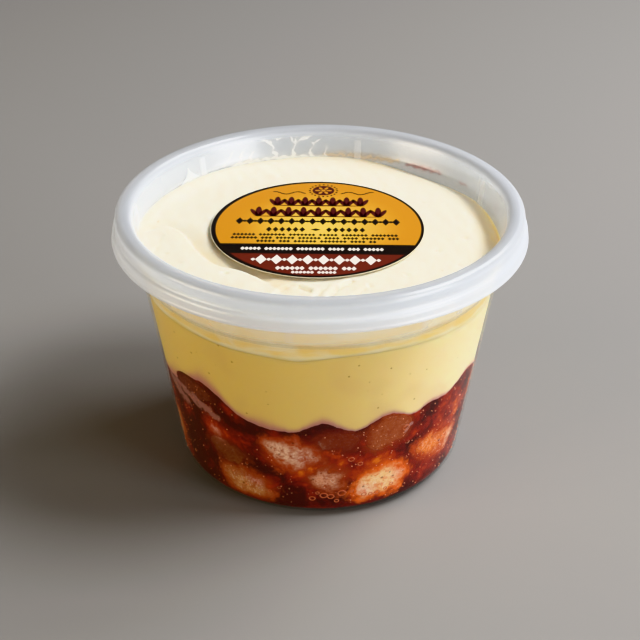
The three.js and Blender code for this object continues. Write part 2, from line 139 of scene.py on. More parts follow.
# Patches in the jelly, as azimuth, height, half-width, half-height and strength: orange where a
# piece lies a little deeper, and negative where the jelly is thick and dark. The bright ones from
# azimuth 38 to 60, on the right where the light falls, are partly painted light.
GLOWS = (
    (-5.4, 16.8, 6, 3.4, 0.75), (8.9, 18.1, 6, 5, 0.75), (1.8, 24.6, 5, 4, 0.55), (-16, 27, 5, 4, 0.35),
    (13, 6.5, 3, 3, 0.45), (-4, 11.5, 6, 2.6, -0.1), (-40, 22.5, 6, 3, 0.4), (38, 11, 8, 3.5, 0.5),
    (41.5, 18.5, 4, 2.5, 0.4), (50, 23, 12, 3, 0.5), (47, 29, 9, 3.5, 0.4), (60, 26, 7, 5, 0.4),
    (-8.8, 33.5, 8, 2, -0.5), (38.4, 22.2, 5, 2.4, -0.2), (-52, 12, 9, 9, -0.8), (-17, 5, 5, 2.5, -0.7),
    (-27, 16.2, 9, 1.8, -0.7), (-50, 24, 4, 4, -0.5), (38, 6, 9, 4, -0.2), (-6, 5.6, 8, 2.6, -0.7),
    (11, 12.4, 1.6, 2.2, -0.5), (22, 19.6, 6, 5, 0.5), (-26, 29.5, 9, 2, -0.5), (96, 15, 9, 5, 0.6),
    (128, 21, 8, 5, 0.6), (160, 13, 9, 5, 0.6), (196, 18, 8, 5, 0.6), (231, 14, 9, 5, 0.6),
    (262, 23, 8, 5, 0.6), (110, 26, 8, 4, -0.5), (212, 26, 8, 4, -0.5),
)
# Films of custard that ran down between the jelly and the wall: azimuth, height and half-width.
FILMS = (
    ((-70, 36.5, 1.6), (-65.4, 32.5, 2.8), (-61, 30.6, 3.0), (-55.5, 29.4, 2.0), (-53.4, 28.4, 0.6)),
    ((-62, 33.6, 2.4), (-54, 33.0, 2.2), (-47.9, 32.2, 2.8), (-42.9, 31.2, 2.6), (-39, 30.0, 1.7)),
    ((33.6, 29.6, 0.7), (32.1, 28.2, 0.9), (31.2, 27.2, 0.4)),
)
# Larger bubbles that lie against the wall: azimuth, height and radius of each.
RINGS = (
    (8.3, 8.5, 1.1), (4.1, 7.4, 0.9), (1.4, 7.9, 1.0), (-3.0, 6.7, 0.8), (11.3, 21.3, 0.8),
    (14.7, 19.2, 0.7), (-19.6, 7.7, 0.5), (6.4, 5.6, 0.6), (-1.0, 8.9, 0.5), (12.2, 8.9, 0.5),
    (17.2, 6.9, 0.7), (19.8, 6.5, 0.6), (22.6, 6.6, 0.75), (26.0, 7.3, 0.55), (28.4, 8.4, 0.6),
    (31.6, 28.8, 1.0), (103, 9.4, 1.1), (109, 7.6, 0.8), (151, 20.5, 1.0), (187, 8.2, 1.1),
    (192, 7.0, 0.7), (236, 21.5, 0.9), (249, 8.4, 1.0), (281, 9.2, 0.9),
)

# The cream's surface: a thick fold left of the label, a fall to the wall at the right, and pits.
FOLD_PATH = (
    (-49.6, -2.0), (-45.4, 2.0), (-40.3, -1.0), (-34.8, -12.7), (-28.7, -21.3), (-21.6, -24.8),
    (-14.2, -31.6),
)
FOLD_CREST, FOLD_DROP, FOLD_STEEP, FOLD_TROUGH, FOLD_FADE = 0.55, 1.6, 1.5, 6, 9
LOBE_FALL, LOBE_FROM, LOBE_TO = 0.9, 3, 14  # how the fold falls towards the wall
CREAM_DIPS = ((90, 17, 3.4, 42.5), (137, 15, 2.6, 46.5))  # azimuth, half-width, depth, start
CREASES = (  # start, end, depth and half-width of short creases in the cream
    ((8.6, -30.5), (4.6, -34.0), 0.8, 0.8), ((4.6, -34.0), (2.6, -37.6), 0.9, 0.7),
    ((-2.7, -35.2), (-5.6, -33.2), 0.8, 0.7), ((11.8, -34.5), (8.4, -39.5), 0.5, 0.8),
    ((0.4, -35.6), (-1.6, -38.6), 0.6, 0.7), ((-9.4, -34.2), (-11.8, -37.4), 0.5, 0.8),
)
CREAM_PITS = (  # place, radius and depth
    (41.5, -3.9, 0.9, 0.5), (33, -11.9, 0.8, 0.4), (-49.8, 11.5, 0.7, 0.3), (-25.7, -25.9, 0.9, 0.5),
    (23.5, -26.5, 0.8, 0.4), (13.3, -32.6, 0.8, 0.4), (38.2, -20.5, 0.7, 0.3), (-43, -14, 0.7, 0.3),
    (-38.5, -19.5, 0.8, 0.35), (45, 6, 0.7, 0.3), (30.5, 18.5, 0.6, 0.25), (-12, 37.5, 0.6, 0.25),
)

CUSTARD_STREAKS = (  # azimuth, height, half-width, half-height and strength, at the wall
    (1, 60.9, 6.5, 1.3, 0.8), (-6, 62.3, 3, 0.7, 0.5), (9, 59.8, 5, 0.8, 0.5), (14, 63.8, 4, 0.8, 0.4),
    (-34, 59.2, 5, 0.7, 0.3), (38, 62.5, 6, 0.8, 0.3), (95, 61, 9, 1.4, 0.5), (150, 60.4, 8, 1.2, 0.5),
    (205, 61.4, 9, 1.3, 0.5), (262, 60.6, 8, 1.2, 0.5),
)

# Food that ran up between the lid's plug and the collar, in strips on the collar's inner wall:
# azimuth, height and half-width along each.
CREAM_SMEARS = (
    ((-160.5, 76.3, 0.5), (-163, 75.6, 0.8), (-163.6, 74, 0.7), (-164.4, 71.6, 0.9), (-165.5, 69.4, 1.4)),
    ((-170.5, 69.4, 1.4), (-170.8, 71.8, 0.8), (-171.2, 73.7, 0.7), (-171.3, 75, 0.8)),
    ((-171.3, 74.8, 0.7), (-169.6, 76.7, 0.6)),
    ((-171.3, 74.8, 0.5), (-172.2, 76.7, 0.5)),
    ((-171.3, 74.6, 0.8), (-174, 76, 0.7), (-176.6, 76.8, 0.7)),
    ((-176.6, 69.6, 1.0), (-176.8, 71.9, 0.55), (-177.6, 74.6, 0.5), (-180, 75.5, 0.45)),
    ((-182.2, 74.4, 0.3), (-181.9, 71.9, 0.4), (-182, 69.8, 0.5)),
    ((-166.9, 76.7, 0.6), (-165.4, 76.4, 0.4)),
    ((-149.5, 74.9, 0.4), (-147.5, 73, 0.6), (-145.1, 70.9, 0.4)),
    ((-152.8, 73.6, 0.6), (-151.4, 71.6, 0.6), (-150.2, 69.8, 0.5)),
    ((-156.5, 73.4, 0.5), (-155.4, 71.4, 0.6)),
    ((-148.5, 70.3, 0.9), (-157.8, 70.4, 0.9), (-165, 70.4, 1.1), (-172, 70.2, 1.0), (-182, 70.1, 0.8)),
)
CUSTARD_SMEARS = (
    ((-181.5, 70.4, 1.6), (-188, 70.8, 1.9), (-194, 70.7, 1.8), (-201, 70.9, 1.5), (-208, 71.2, 1.2)),
    ((-155, 70.7, 0.5), (-153.4, 70.8, 0.5)),
)
JAM_SMEARS = (
    ((135, 71.2, 0.7), (142, 71.0, 1.3), (149, 70.7, 0.8)),
    ((102.3, 70.2, 0.25), (102.5, 71.6, 0.45), (102.9, 73.1, 0.2)),
    ((123, 71.2, 0.4), (124.4, 71.0, 0.6), (126, 71.3, 0.3)),
)
# The peak of cream that clings to the collar, and the band of the collar that the films lie on.
PEAK_AZIMUTH, PEAK_FOOT, PEAK_TALL, PEAK_WIDTH = -131.2, 69.2, 5, 12
SKIN_BAND, SKIN_ROWS, SKIN_REACH_IN = (69.1, 76.9), 32, 0.1

# Tones of the jelly, from where it is thickest to where the light comes through.
JELLY_TONES = ((0.0, "#3c0403"), (0.3, "#640a03"), (0.55, "#8c1b05"), (0.8, "#b03a08"), (1.0, "#d46a18"))

# ---------- the studio ----------

CAMERA_PLACE = (0, -370.2, 256.95)
CAMERA_TARGET = (0, 0, 40.55)
CAMERA_LENS, CAMERA_SENSOR = 81.377, 36
FLOOR_HALF = 4000
LIGHT_TARGET = (0, 0, 0.04)  # in metres, as the lamps' sizes and distances are

# ---------- numbers and places ----------


def smoothstep(value, low, high):
    share = np.clip((value - low) / (high - low), 0, 1)
    return share * share * (3 - 2 * share)


def bell(distance, width):
    return np.exp(-((distance / width) ** 2))


def turn(azimuth, centre):
    """Difference of two azimuths, from -180 to 180 degrees."""
    return (azimuth - centre + 180) % 360 - 180


def flat_place(radius, azimuth):
    """X and Y of a radius and an azimuth."""
    return radius * np.sin(np.radians(azimuth)), -radius * np.cos(np.radians(azimuth))


def polar(azimuth, radius, height):
    """Points at azimuths, radii and heights, which may be arrays of shapes that fit together."""
    angle = np.radians(azimuth)
    return np.stack(np.broadcast_arrays(radius * np.sin(angle), -radius * np.cos(angle), height), -1)


def all_round(count):
    """Azimuths all the way round, as a row to cross with a column of heights or shares."""
    return np.linspace(0, 360, count, endpoint=False)[None, :]


def wall_radius(height, inset):
    """Radius of the surface that lies `inset` inside the tub's outer face."""
    height = np.asarray(height, float)
    reach = HEEL_RADIUS - inset
    drop = np.clip(HEEL_RADIUS - height, 0, reach)
    heel = HEEL_MIDDLE + np.sqrt(reach**2 - drop**2)
    widened = SHOULDER_STEP * smoothstep(height, SHOULDER_LOW, SHOULDER_HIGH)
    straight = FLOOR_LINE_RADIUS + TAPER * height + widened - inset / math.cos(LEAN)
    return np.where(height < HEEL_RADIUS * (1 - TAPER), heel, straight)


def wall_patch(azimuth, height, centre, middle, wide, tall):
    """A soft patch on the wall, from 1 in its middle down over its half-width and half-height."""
    across = np.radians(turn(azimuth, centre)) * wall_radius(middle, WALL)
    return bell(np.hypot(across / wide, (height - middle) / tall), 1)


def arc(radius, height, size, start, end, steps):
    """Points (radius, height) of a round stretch of an outline, between two angles in degrees."""
    angles = np.radians(np.linspace(start, end, steps + 1))
    return [(radius + size * math.cos(a), height + size * math.sin(a)) for a in angles]


def softened(outline, rounds):
    """The outline with its corners cut off again and again, so that it runs round them."""
    for _ in range(rounds):
        cut = [outline[0]]
        for start, end in zip(outline, outline[1:]):
            start, end = np.array(start), np.array(end)
            cut += [start * 0.75 + end * 0.25, start * 0.25 + end * 0.75]
        outline = [*cut, outline[-1]]
    return np.array(outline)


# ---------- the layers' faces ----------


def ragged(azimuth):
    """Fine unevenness of the line between compote and custard, in mm."""
    angle = np.radians(azimuth)
    return (
        0.12 * np.sin(17 * angle + 0.4) + 0.1 * np.sin(41 * angle + 2 * np.sin(7 * angle))
        + 0.07 * np.sin(97 * angle + 3 * np.sin(5 * angle)) + 0.05 * np.sin(173 * angle)
    )


def compote_top(share, azimuth):
    wave = COMPOTE_BASE + ragged(azimuth)
    for centre, rise, width in COMPOTE_CRESTS:
        wave = wave + rise * bell(turn(azimuth, centre), width)
    return COMPOTE_MIDDLE + (wave - COMPOTE_MIDDLE) * share**2


def custard_top(share, azimuth):
    ripple = 0.5 * np.sin(np.radians(3 * azimuth + 57)) + 0.3 * np.sin(np.radians(5 * azimuth))
    ripple = ripple + 0.6 * bell(turn(azimuth, -48), 16) - 1.0 * bell(turn(azimuth, -6), 8)
    return CUSTARD_TOP + ripple * share**2


def smooth_path(corners, steps):
    """A Catmull-Rom curve through the corners."""
    knots = np.array([corners[0], *corners, corners[-1]], float)
    points = []
    for a, b, c, d in zip(knots, knots[1:], knots[2:], knots[3:]):
        for t in np.linspace(0, 1, steps, endpoint=False):
            even = 2 * b + (2 * a - 5 * b + 4 * c - d) * t**2
            odd = (c - a) * t + (3 * b - a - 3 * c + d) * t**3
            points.append((even + odd) / 2)
    return np.array([*points, knots[-1]])


def beside_path(path, x, y):
    """Distance of points from a path, negative on its left, and how far along it they are."""
    best = np.full(np.shape(x), np.inf)
    side = np.ones(np.shape(x))
    along = np.zeros(np.shape(x))
    for i, (start, end) in enumerate(zip(path, path[1:])):
        step = end - start
        dx, dy = x - start[0], y - start[1]
        share = np.clip((dx * step[0] + dy * step[1]) / (step @ step), 0, 1)
        distance = np.hypot(dx - share * step[0], dy - share * step[1])
        nearer = distance < best
        best = np.where(nearer, distance, best)
        side = np.where(nearer, -np.sign(step[0] * dy - step[1] * dx), side)
        along = np.where(nearer, (i + share) / (len(path) - 1), along)
    return best * side, along


FOLD_LINE = smooth_path(FOLD_PATH, 8)


def cream_top(radius, azimuth, edge):
    """Height of the cream: swell, fold, falls to the wall, creases, pits and fine strokes."""
    x, y = flat_place(radius, azimuth)
    height = CREAM_TOP + 0.2 * np.sin(x / 9 + 0.6) * np.cos(y / 11 + 1.1)
    height = height + 0.55 * bell(radius - 31, 7) * bell(turn(azimuth, 28), 42)
    distance, along = beside_path(FOLD_LINE, x, y)
    strength = smoothstep(along, 0, 0.12) * (1 - smoothstep(along, 0.93, 1))
    height = height - LOBE_FALL * strength * smoothstep(distance, LOBE_FROM, LOBE_TO)
    recovery = 1 - smoothstep(-distance, 0, FOLD_TROUGH)
    drop = FOLD_DROP * smoothstep(-distance, 0, FOLD_STEEP) * recovery
    height = height + strength * (FOLD_CREST * bell(distance - FOLD_STEEP, FOLD_FADE) - drop)
    for centre, width, fall, start in CREAM_DIPS:
        across = bell(turn(azimuth, centre), width) ** 0.5
        height = height - fall * across * smoothstep(radius, start, edge + 1)
    for start, end, depth, width in CREASES:
        off, _ = beside_path(np.array([start, end]), x, y)
        height = height - depth * bell(off, width) + 0.5 * depth * bell(off - 1.6 * width, 1.4 * width)
    for pit_x, pit_y, size, depth in CREAM_PITS:
        height = height - depth * bell(np.hypot(x - pit_x, y - pit_y), size)
    strokes = 0.05 * np.sin(x * 1.1 + 0.35 * y + 2 * np.sin(y / 7)) * smoothstep(radius, 30, 38)
    return np.minimum(height + strokes, CREAM_LIMIT)


# ---------- the lumps of sponge and fruit ----------


def kind_of(name):
    return name.split("_")[0]


def far_lumps():
    """Places and sizes of the pieces on the far side, measured from their solids in the frame."""
    lumps = {}
    for name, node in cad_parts.items():
        if "_far_" not in name or name in FRONT_PIECES:
            continue
        points = np.array([v.co for v in node.data.vertices]) / MM
        radius = np.hypot(points[:, 0], points[:, 1])
        face = points[radius > wall_radius(points[:, 2], WALL + 1.2)]
        azimuths = np.degrees(np.arctan2(face[:, 0], -face[:, 1])) % 360
        middle = (azimuths.min() + azimuths.max()) / 2
        height = (face[:, 2].min() + face[:, 2].max()) / 2
        width = np.radians(np.ptp(azimuths)) * wall_radius(height, WALL)
        tilt = 9 if int(name.split("_")[-1]) % 2 else -9
        lumps[name] = (middle, height, width, np.ptp(face[:, 2]), tilt, *FAR_HEARTS[kind_of(name)])
    return lumps


LUMPS = {**FRONT_PIECES, **far_lumps()}


def lump_reach(name, angle):
    """From a lump's middle to its outline on the wall, in the direction of the angle."""
    _, _, width, tall, *_ = LUMPS[name]
    kind = kind_of(name)
    power = SQUARENESS[kind]
    across, up = np.abs(np.cos(angle)) * 2 / width, np.abs(np.sin(angle)) * 2 / tall
    phase = list(LUMPS).index(name) * 1.3
    waves = np.sin(3 * angle + phase) + 0.7 * np.sin(5 * angle + 2.1 * phase)
    waves = waves + 0.5 * np.sin(9 * angle + phase)
    return (across**power + up**power) ** (-1 / power) * (1 + RAGGEDNESS[kind] * waves / 1.5)


def beside_lump(name, azimuth, height):
    """Distance on the wall from a lump's outline, in mm: negative inside it."""
    centre, middle, _, _, tilt, *_ = LUMPS[name]
    along = np.radians(turn(azimuth, centre)) * wall_radius(middle, WALL)
    up = height - middle
    cos, sin = math.cos(math.radians(tilt)), math.sin(math.radians(tilt))
    across, rise = along * cos + up * sin, up * cos - along * sin
    return np.hypot(across, rise) - lump_reach(name, np.arctan2(rise, across))


def beside_strips(strips, azimuth, height):
    """How deep inside the nearest of some strips on the wall the points are: 1 in the middle."""
    inside = np.zeros(np.shape(azimuth))
    for strip in strips:
        for (az_a, z_a, w_a), (az_b, z_b, w_b) in zip(strip, strip[1:]):
            mm = math.radians(1) * wall_radius(z_a, WALL)
            step = np.array([(az_b - az_a) * mm, z_b - z_a])
            dx, dz = turn(azimuth, az_a) * mm, height - z_a
            share = np.clip((dx * step[0] + dz * step[1]) / (step @ step), 0, 1)
            distance = np.hypot(dx - share * step[0], dz - share * step[1])
            inside = np.maximum(inside, 1 - distance / (w_a + (w_b - w_a) * share))
    return inside


# ---------- meshes ----------


def new_piece(name, points, faces, material):
    """A smooth-shaded object at the origin, from points in mm."""
    mesh = bpy.data.meshes.new(name)
    mesh.from_pydata(np.asarray(points) * MM, [], faces)
    mesh.materials.append(material)
    mesh.shade_smooth()
    piece = bpy.data.objects.new(name, mesh)
    bpy.context.scene.collection.objects.link(piece)
    return piece


def side_faces(rings):
    """Numbers of the points of some rings, and the faces between one ring and the next."""
    rows, around = rings.shape[:2]
    ids = np.arange(rows * around).reshape(rows, around)
    beside = np.roll(ids, -1, axis=1)
    return ids, beside, np.stack([ids[:-1], beside[:-1], beside[1:], ids[1:]], -1).reshape(-1, 4)


def lofted(name, rings, material):
    """A closed solid through rings of points, which run upwards and anticlockwise."""
    ids, beside, sides = side_faces(rings)
    first, last = ids.size, ids.size + 1
    under = [(b, a, first) for a, b in zip(ids[0], beside[0])]
    over = [(a, b, last) for a, b in zip(ids[-1], beside[-1])]
    points = np.vstack([rings.reshape(-1, 3), rings[0].mean(0), rings[-1].mean(0)])
    return new_piece(name, points, [*sides.tolist(), *under, *over], material)


def places(piece):
    """Azimuth, height and radius in mm of a piece's points."""
    points = np.empty(len(piece.data.vertices) * 3)
    piece.data.vertices.foreach_get("co", points)
    x, y, z = points.reshape(-1, 3).T / MM
    return np.degrees(np.arctan2(x, -y)), z, np.hypot(x, y)


def paint(piece, name, values):
    """Writes a number or a linear colour for each point of a piece, which its material reads."""
    values = np.asarray(values, np.float32)
    if values.ndim == 1:
        piece.data.attributes.new(name, "FLOAT", "POINT").data.foreach_set("value", values)
    else:
        rgba = np.hstack([values[:, :3], np.ones((len(values), 1), np.float32)])
        piece.data.attributes.new(name, "FLOAT_COLOR", "POINT").data.foreach_set("color", rgba.ravel())


def point_mesh(name, points, **attributes):
    """Loose points in mm with attributes, for a tree of nodes to put things on."""
    mesh = bpy.data.meshes.new(name)
    mesh.from_pydata(np.asarray(points) * MM, [], [])
    for key, values in attributes.items():
        values = np.asarray(values, np.float32)
        if values.ndim == 1:
            mesh.attributes.new(key, "FLOAT", "POINT").data.foreach_set("value", values)
        else:
            mesh.attributes.new(key, "FLOAT_VECTOR", "POINT").data.foreach_set("vector", values.ravel())
    return mesh


def face_outwards(mesh):
    shell = bmesh.new()
    shell.from_mesh(mesh)
    bmesh.ops.recalc_face_normals(shell, faces=shell.faces)
    shell.to_mesh(mesh)
    shell.free()


def grown(name, start, tree, values):
    """Runs a tree of geometry nodes on a mesh, and gives the result as a plain object."""
    holder = bpy.data.objects.new(name + "_start", start)
    bpy.context.scene.collection.objects.link(holder)
    modifier = holder.modifiers.new("Shape", "NODES")
    modifier.node_group = tree
    for item in tree.interface.items_tree:
        if item.item_type == "SOCKET" and item.in_out == "INPUT" and item.name in values:
            modifier[item.identifier] = values[item.name]
    depsgraph = bpy.context.evaluated_depsgraph_get()
    shape = holder.evaluated_get(depsgraph)
    mesh = bpy.data.meshes.new_from_object(shape, preserve_all_data_layers=True, depsgraph=depsgraph)
    mesh.name = name
    face_outwards(mesh)
    bpy.data.objects.remove(holder)
    piece = bpy.data.objects.new(name, mesh)
    bpy.context.scene.collection.objects.link(piece)
    return piece


def deliver(piece, slot, *nodes):
    """The piece stays with the tub and takes the place of the nodes. The slot is not used."""
    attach(piece, "root")
    if nodes:
        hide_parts(*nodes)
    return piece


# ---------- trees of nodes ----------


def add_node(tree, kind, inputs=None, **settings):
    """Adds a node with its settings, and fills its inputs with values, sockets or nodes."""
    node = tree.nodes.new(kind)
    for key, value in settings.items():
        setattr(node, key, value)
    for key, value in (inputs or {}).items():
        if isinstance(value, bpy.types.Node):
            value = value.outputs[0]
        if isinstance(value, bpy.types.NodeSocket):
            tree.links.new(value, node.inputs[key])
        else:
            node.inputs[key].default_value = value
    return node


def new_geometry_tree(name, sizes):
    """A geometry tree with a named input for each size, and its group input node."""
    tree = bpy.data.node_groups.new(name, "GeometryNodeTree")
    tree.interface.new_socket("Geometry", in_out="INPUT", socket_type="NodeSocketGeometry")
    tree.interface.new_socket("Geometry", in_out="OUTPUT", socket_type="NodeSocketGeometry")
    for label, socket_type in sizes.items():
        tree.interface.new_socket(label, in_out="INPUT", socket_type=f"NodeSocket{socket_type}")
    return tree, tree.nodes.new("NodeGroupInput")


def end_geometry_tree(tree, group_in, shape):
    """Ends a tree: instances made real, the material set."""
    real = add_node(tree, "GeometryNodeRealizeInstances", {"Geometry": shape})
    material = group_in.outputs["Material"]
    dressed = add_node(tree, "GeometryNodeSetMaterial", {"Geometry": real, "Material": material})
    add_node(tree, "NodeGroupOutput", {"Geometry": dressed})
    return tree


def turned_shell_tree():
    """Turns an outline (X is the radius, Z the height) round the axis, with its `milk` values."""
    tree, given = new_geometry_tree("Turned shell", {"Segments": "Int", "Material": "Material"})
    count = add_node(tree, "GeometryNodeAttributeDomainSize", {"Geometry": given.outputs["Geometry"]})
    columns = add_node(
        tree, "FunctionNodeIntegerMath", {0: given.outputs["Segments"], 1: 1}, operation="ADD"
    )
    grid = add_node(tree, "GeometryNodeMeshGrid", {"Vertices X": columns, "Vertices Y": count})
    index = add_node(tree, "GeometryNodeInputIndex")
    row = add_node(tree, "FunctionNodeIntegerMath", {0: index, 1: count}, operation="MODULO")
    column = add_node(tree, "FunctionNodeIntegerMath", {0: index, 1: count}, operation="DIVIDE_FLOOR")
    place = add_node(
        tree, "GeometryNodeSampleIndex",
        {
            "Geometry": given.outputs["Geometry"], "Value": add_node(tree, "GeometryNodeInputPosition"),
            "Index": row,
        },
        data_type="FLOAT_VECTOR",
    )
    parts = add_node(tree, "ShaderNodeSeparateXYZ", {"Vector": place})
    share = add_node(tree, "ShaderNodeMath", {0: column, 1: given.outputs["Segments"]}, operation="DIVIDE")
    angle = add_node(tree, "ShaderNodeMath", {0: share, 1: 2 * math.pi}, operation="MULTIPLY")
    sine = add_node(tree, "ShaderNodeMath", {0: angle}, operation="SINE")
    cosine = add_node(tree, "ShaderNodeMath", {0: angle}, operation="COSINE")
    x = add_node(tree, "ShaderNodeMath", {0: parts.outputs["X"], 1: sine}, operation="MULTIPLY")
    forward = add_node(tree, "ShaderNodeMath", {0: parts.outputs["X"], 1: cosine}, operation="MULTIPLY")
    y = add_node(tree, "ShaderNodeMath", {0: forward, 1: -1.0}, operation="MULTIPLY")
    spot = add_node(tree, "ShaderNodeCombineXYZ", {"X": x, "Y": y, "Z": parts.outputs["Z"]})
    moved = add_node(tree, "GeometryNodeSetPosition", {"Geometry": grid, "Position": spot})
    milk = add_node(tree, "GeometryNodeInputNamedAttribute", {"Name": "milk"}, data_type="FLOAT")
    sampled = add_node(
        tree, "GeometryNodeSampleIndex",
        {"Geometry": given.outputs["Geometry"], "Value": milk, "Index": row}, data_type="FLOAT",
    )
    stored = add_node(
        tree, "GeometryNodeStoreNamedAttribute", {"Geometry": moved, "Name": "milk", "Value": sampled},
        data_type="FLOAT", domain="POINT",
    )
    closed = add_node(tree, "GeometryNodeMergeByDistance", {"Geometry": stored, "Distance": 0.002 * MM})
    smooth = add_node(tree, "GeometryNodeSetShadeSmooth", {"Geometry": closed})
    return end_geometry_tree(tree, given, smooth)


def ribs_tree():
    """Sets an upright bar with round edges on each point, leaning and turned like the wall."""
    sizes = {"Width": "Float", "Depth": "Float", "Length": "Float", "Lean": "Float", "Material": "Material"}
    tree, given = new_geometry_tree("Stacking ribs", sizes)
    outline = add_node(
        tree, "GeometryNodeCurvePrimitiveQuadrilateral",
        {"Width": given.outputs["Width"], "Height": given.outputs["Depth"]},
    )
    corner = add_node(tree, "ShaderNodeMath", {0: given.outputs["Depth"], 1: 0.45}, operation="MULTIPLY")
    rounded = add_node(
        tree, "GeometryNodeFilletCurve", {"Curve": outline, "Radius": corner, "Count": 4}, mode="POLY"
    )
    top = add_node(tree, "ShaderNodeCombineXYZ", {"Z": given.outputs["Length"]})
    line = add_node(tree, "GeometryNodeCurvePrimitiveLine", {"End": top})
    bar = add_node(
        tree, "GeometryNodeCurveToMesh", {"Curve": line, "Profile Curve": rounded, "Fill Caps": True}
    )
    azimuth = add_node(tree, "GeometryNodeInputNamedAttribute", {"Name": "azimuth"}, data_type="FLOAT")
    facing = add_node(tree, "ShaderNodeCombineXYZ", {"X": given.outputs["Lean"], "Z": azimuth})
    bars = add_node(
        tree, "GeometryNodeInstanceOnPoints",
        {"Points": given.outputs["Geometry"], "Instance": bar, "Rotation": facing},
    )
    return end_geometry_tree(tree, given, bars)


def bubbles_tree():
    """Scatters flattened beads over a surface, as many as its `crowd` value says."""
    sizes = {
        "Density": "Float", "Smallest": "Float", "Largest": "Float", "Flatness": "Float",
        "Fineness": "Int", "Seed": "Int", "Material": "Material",
    }
    tree, given = new_geometry_tree("Trapped bubbles", sizes)
    crowd = add_node(tree, "GeometryNodeInputNamedAttribute", {"Name": "crowd"}, data_type="FLOAT")
    density = add_node(
        tree, "ShaderNodeMath", {0: crowd, 1: given.outputs["Density"]}, operation="MULTIPLY"
    )
    spots = add_node(
        tree, "GeometryNodeDistributePointsOnFaces",
        {"Mesh": given.outputs["Geometry"], "Density": density, "Seed": given.outputs["Seed"]},
        distribute_method="RANDOM",
    )
    # inputs 2 and 3 are the least and the most of a random float, and output 1 is the result
    size = add_node(
        tree, "FunctionNodeRandomValue",
        {2: given.outputs["Smallest"], 3: given.outputs["Largest"], "Seed": given.outputs["Seed"]},
        data_type="FLOAT",
    ).outputs[1]
    thin = add_node(tree, "ShaderNodeMath", {0: size, 1: given.outputs["Flatness"]}, operation="MULTIPLY")
    scale = add_node(tree, "ShaderNodeCombineXYZ", {"X": size, "Y": size, "Z": thin})
    bead = add_node(
        tree, "GeometryNodeMeshIcoSphere", {"Radius": 1.0, "Subdivisions": given.outputs["Fineness"]}
    )
    smooth = add_node(tree, "GeometryNodeSetShadeSmooth", {"Geometry": bead})
    beads = add_node(
        tree, "GeometryNodeInstanceOnPoints",
        {"Points": spots, "Instance": smooth, "Rotation": spots.outputs["Rotation"], "Scale": scale},
    )
    return end_geometry_tree(tree, given, beads)


def marks_tree():
    """Prints a flat mark on each point, with the point's `size` and `turned` values."""
    tree, given = new_geometry_tree("Printed marks", {"Corners": "Int", "Material": "Material"})
    mark = add_node(
        tree, "GeometryNodeMeshCylinder",
        {"Vertices": given.outputs["Corners"], "Radius": 1.0, "Depth": 1.0},
    )
    size = add_node(tree, "GeometryNodeInputNamedAttribute", {"Name": "size"}, data_type="FLOAT_VECTOR")
    turned = add_node(tree, "GeometryNodeInputNamedAttribute", {"Name": "turned"}, data_type="FLOAT")
    facing = add_node(tree, "ShaderNodeCombineXYZ", {"Z": turned})
    marks = add_node(
        tree, "GeometryNodeInstanceOnPoints",
        {"Points": given.outputs["Geometry"], "Instance": mark, "Rotation": facing, "Scale": size},
    )
    return end_geometry_tree(tree, given, marks)


# ---------- materials ----------


def srgb(code):
    """Linear colour of an sRGB hex value."""
    parts = [int(code[i:i + 2], 16) / 255 for i in (1, 3, 5)]
    return tuple(c / 12.92 if c <= 0.04045 else ((c + 0.055) / 1.055) ** 2.4 for c in parts) + (1.0,)


def per_mm(size):
    """Scale of a texture, on coordinates in metres, whose features are `size` mm across."""
    return 1 / (size * MM)


def new_material(name):
    material = bpy.data.materials.new(name)
    material.use_nodes = True
    material.node_tree.nodes.clear()
    return material, material.node_tree


def clear_polypropylene(name, tint, haze, roughness, sheen=0.32):
    """Moulded clear polypropylene. Thin and a little hazy: the food shows through it, with a soft
    sheen that grows at grazing angles."""
    material, tree = new_material(name)
    facing = add_node(tree, "ShaderNodeLayerWeight", {"Blend": 0.5})
    grazing = add_node(tree, "ShaderNodeMath", {0: facing.outputs["Facing"], 1: 4.0}, operation="POWER")
    shine = add_node(tree, "ShaderNodeMath", {0: grazing, 1: sheen, 2: 0.024}, operation="MULTIPLY_ADD")
    through = add_node(tree, "ShaderNodeBsdfTransparent", {"Color": tint})
    milk = add_node(tree, "ShaderNodeBsdfDiffuse", {"Color": tint})
    glow = add_node(tree, "ShaderNodeBsdfTranslucent", {"Color": tint})
    veil = add_node(tree, "ShaderNodeMixShader", {0: 0.35, 1: milk, 2: glow})
    frosted = add_node(tree, "ShaderNodeAttribute", attribute_name="milk").outputs["Fac"]
    cover = add_node(tree, "ShaderNodeMath", {0: frosted, 1: haze}, operation="ADD")
    body = add_node(tree, "ShaderNodeMixShader", {0: cover, 1: through, 2: veil})
    skin = add_node(tree, "ShaderNodeBsdfAnisotropic", {"Color": srgb("#ffffff"), "Roughness": roughness})
    face = add_node(tree, "ShaderNodeMixShader", {0: shine, 1: body, 2: skin})
    add_node(tree, "ShaderNodeOutputMaterial", {"Surface": face})
    return material


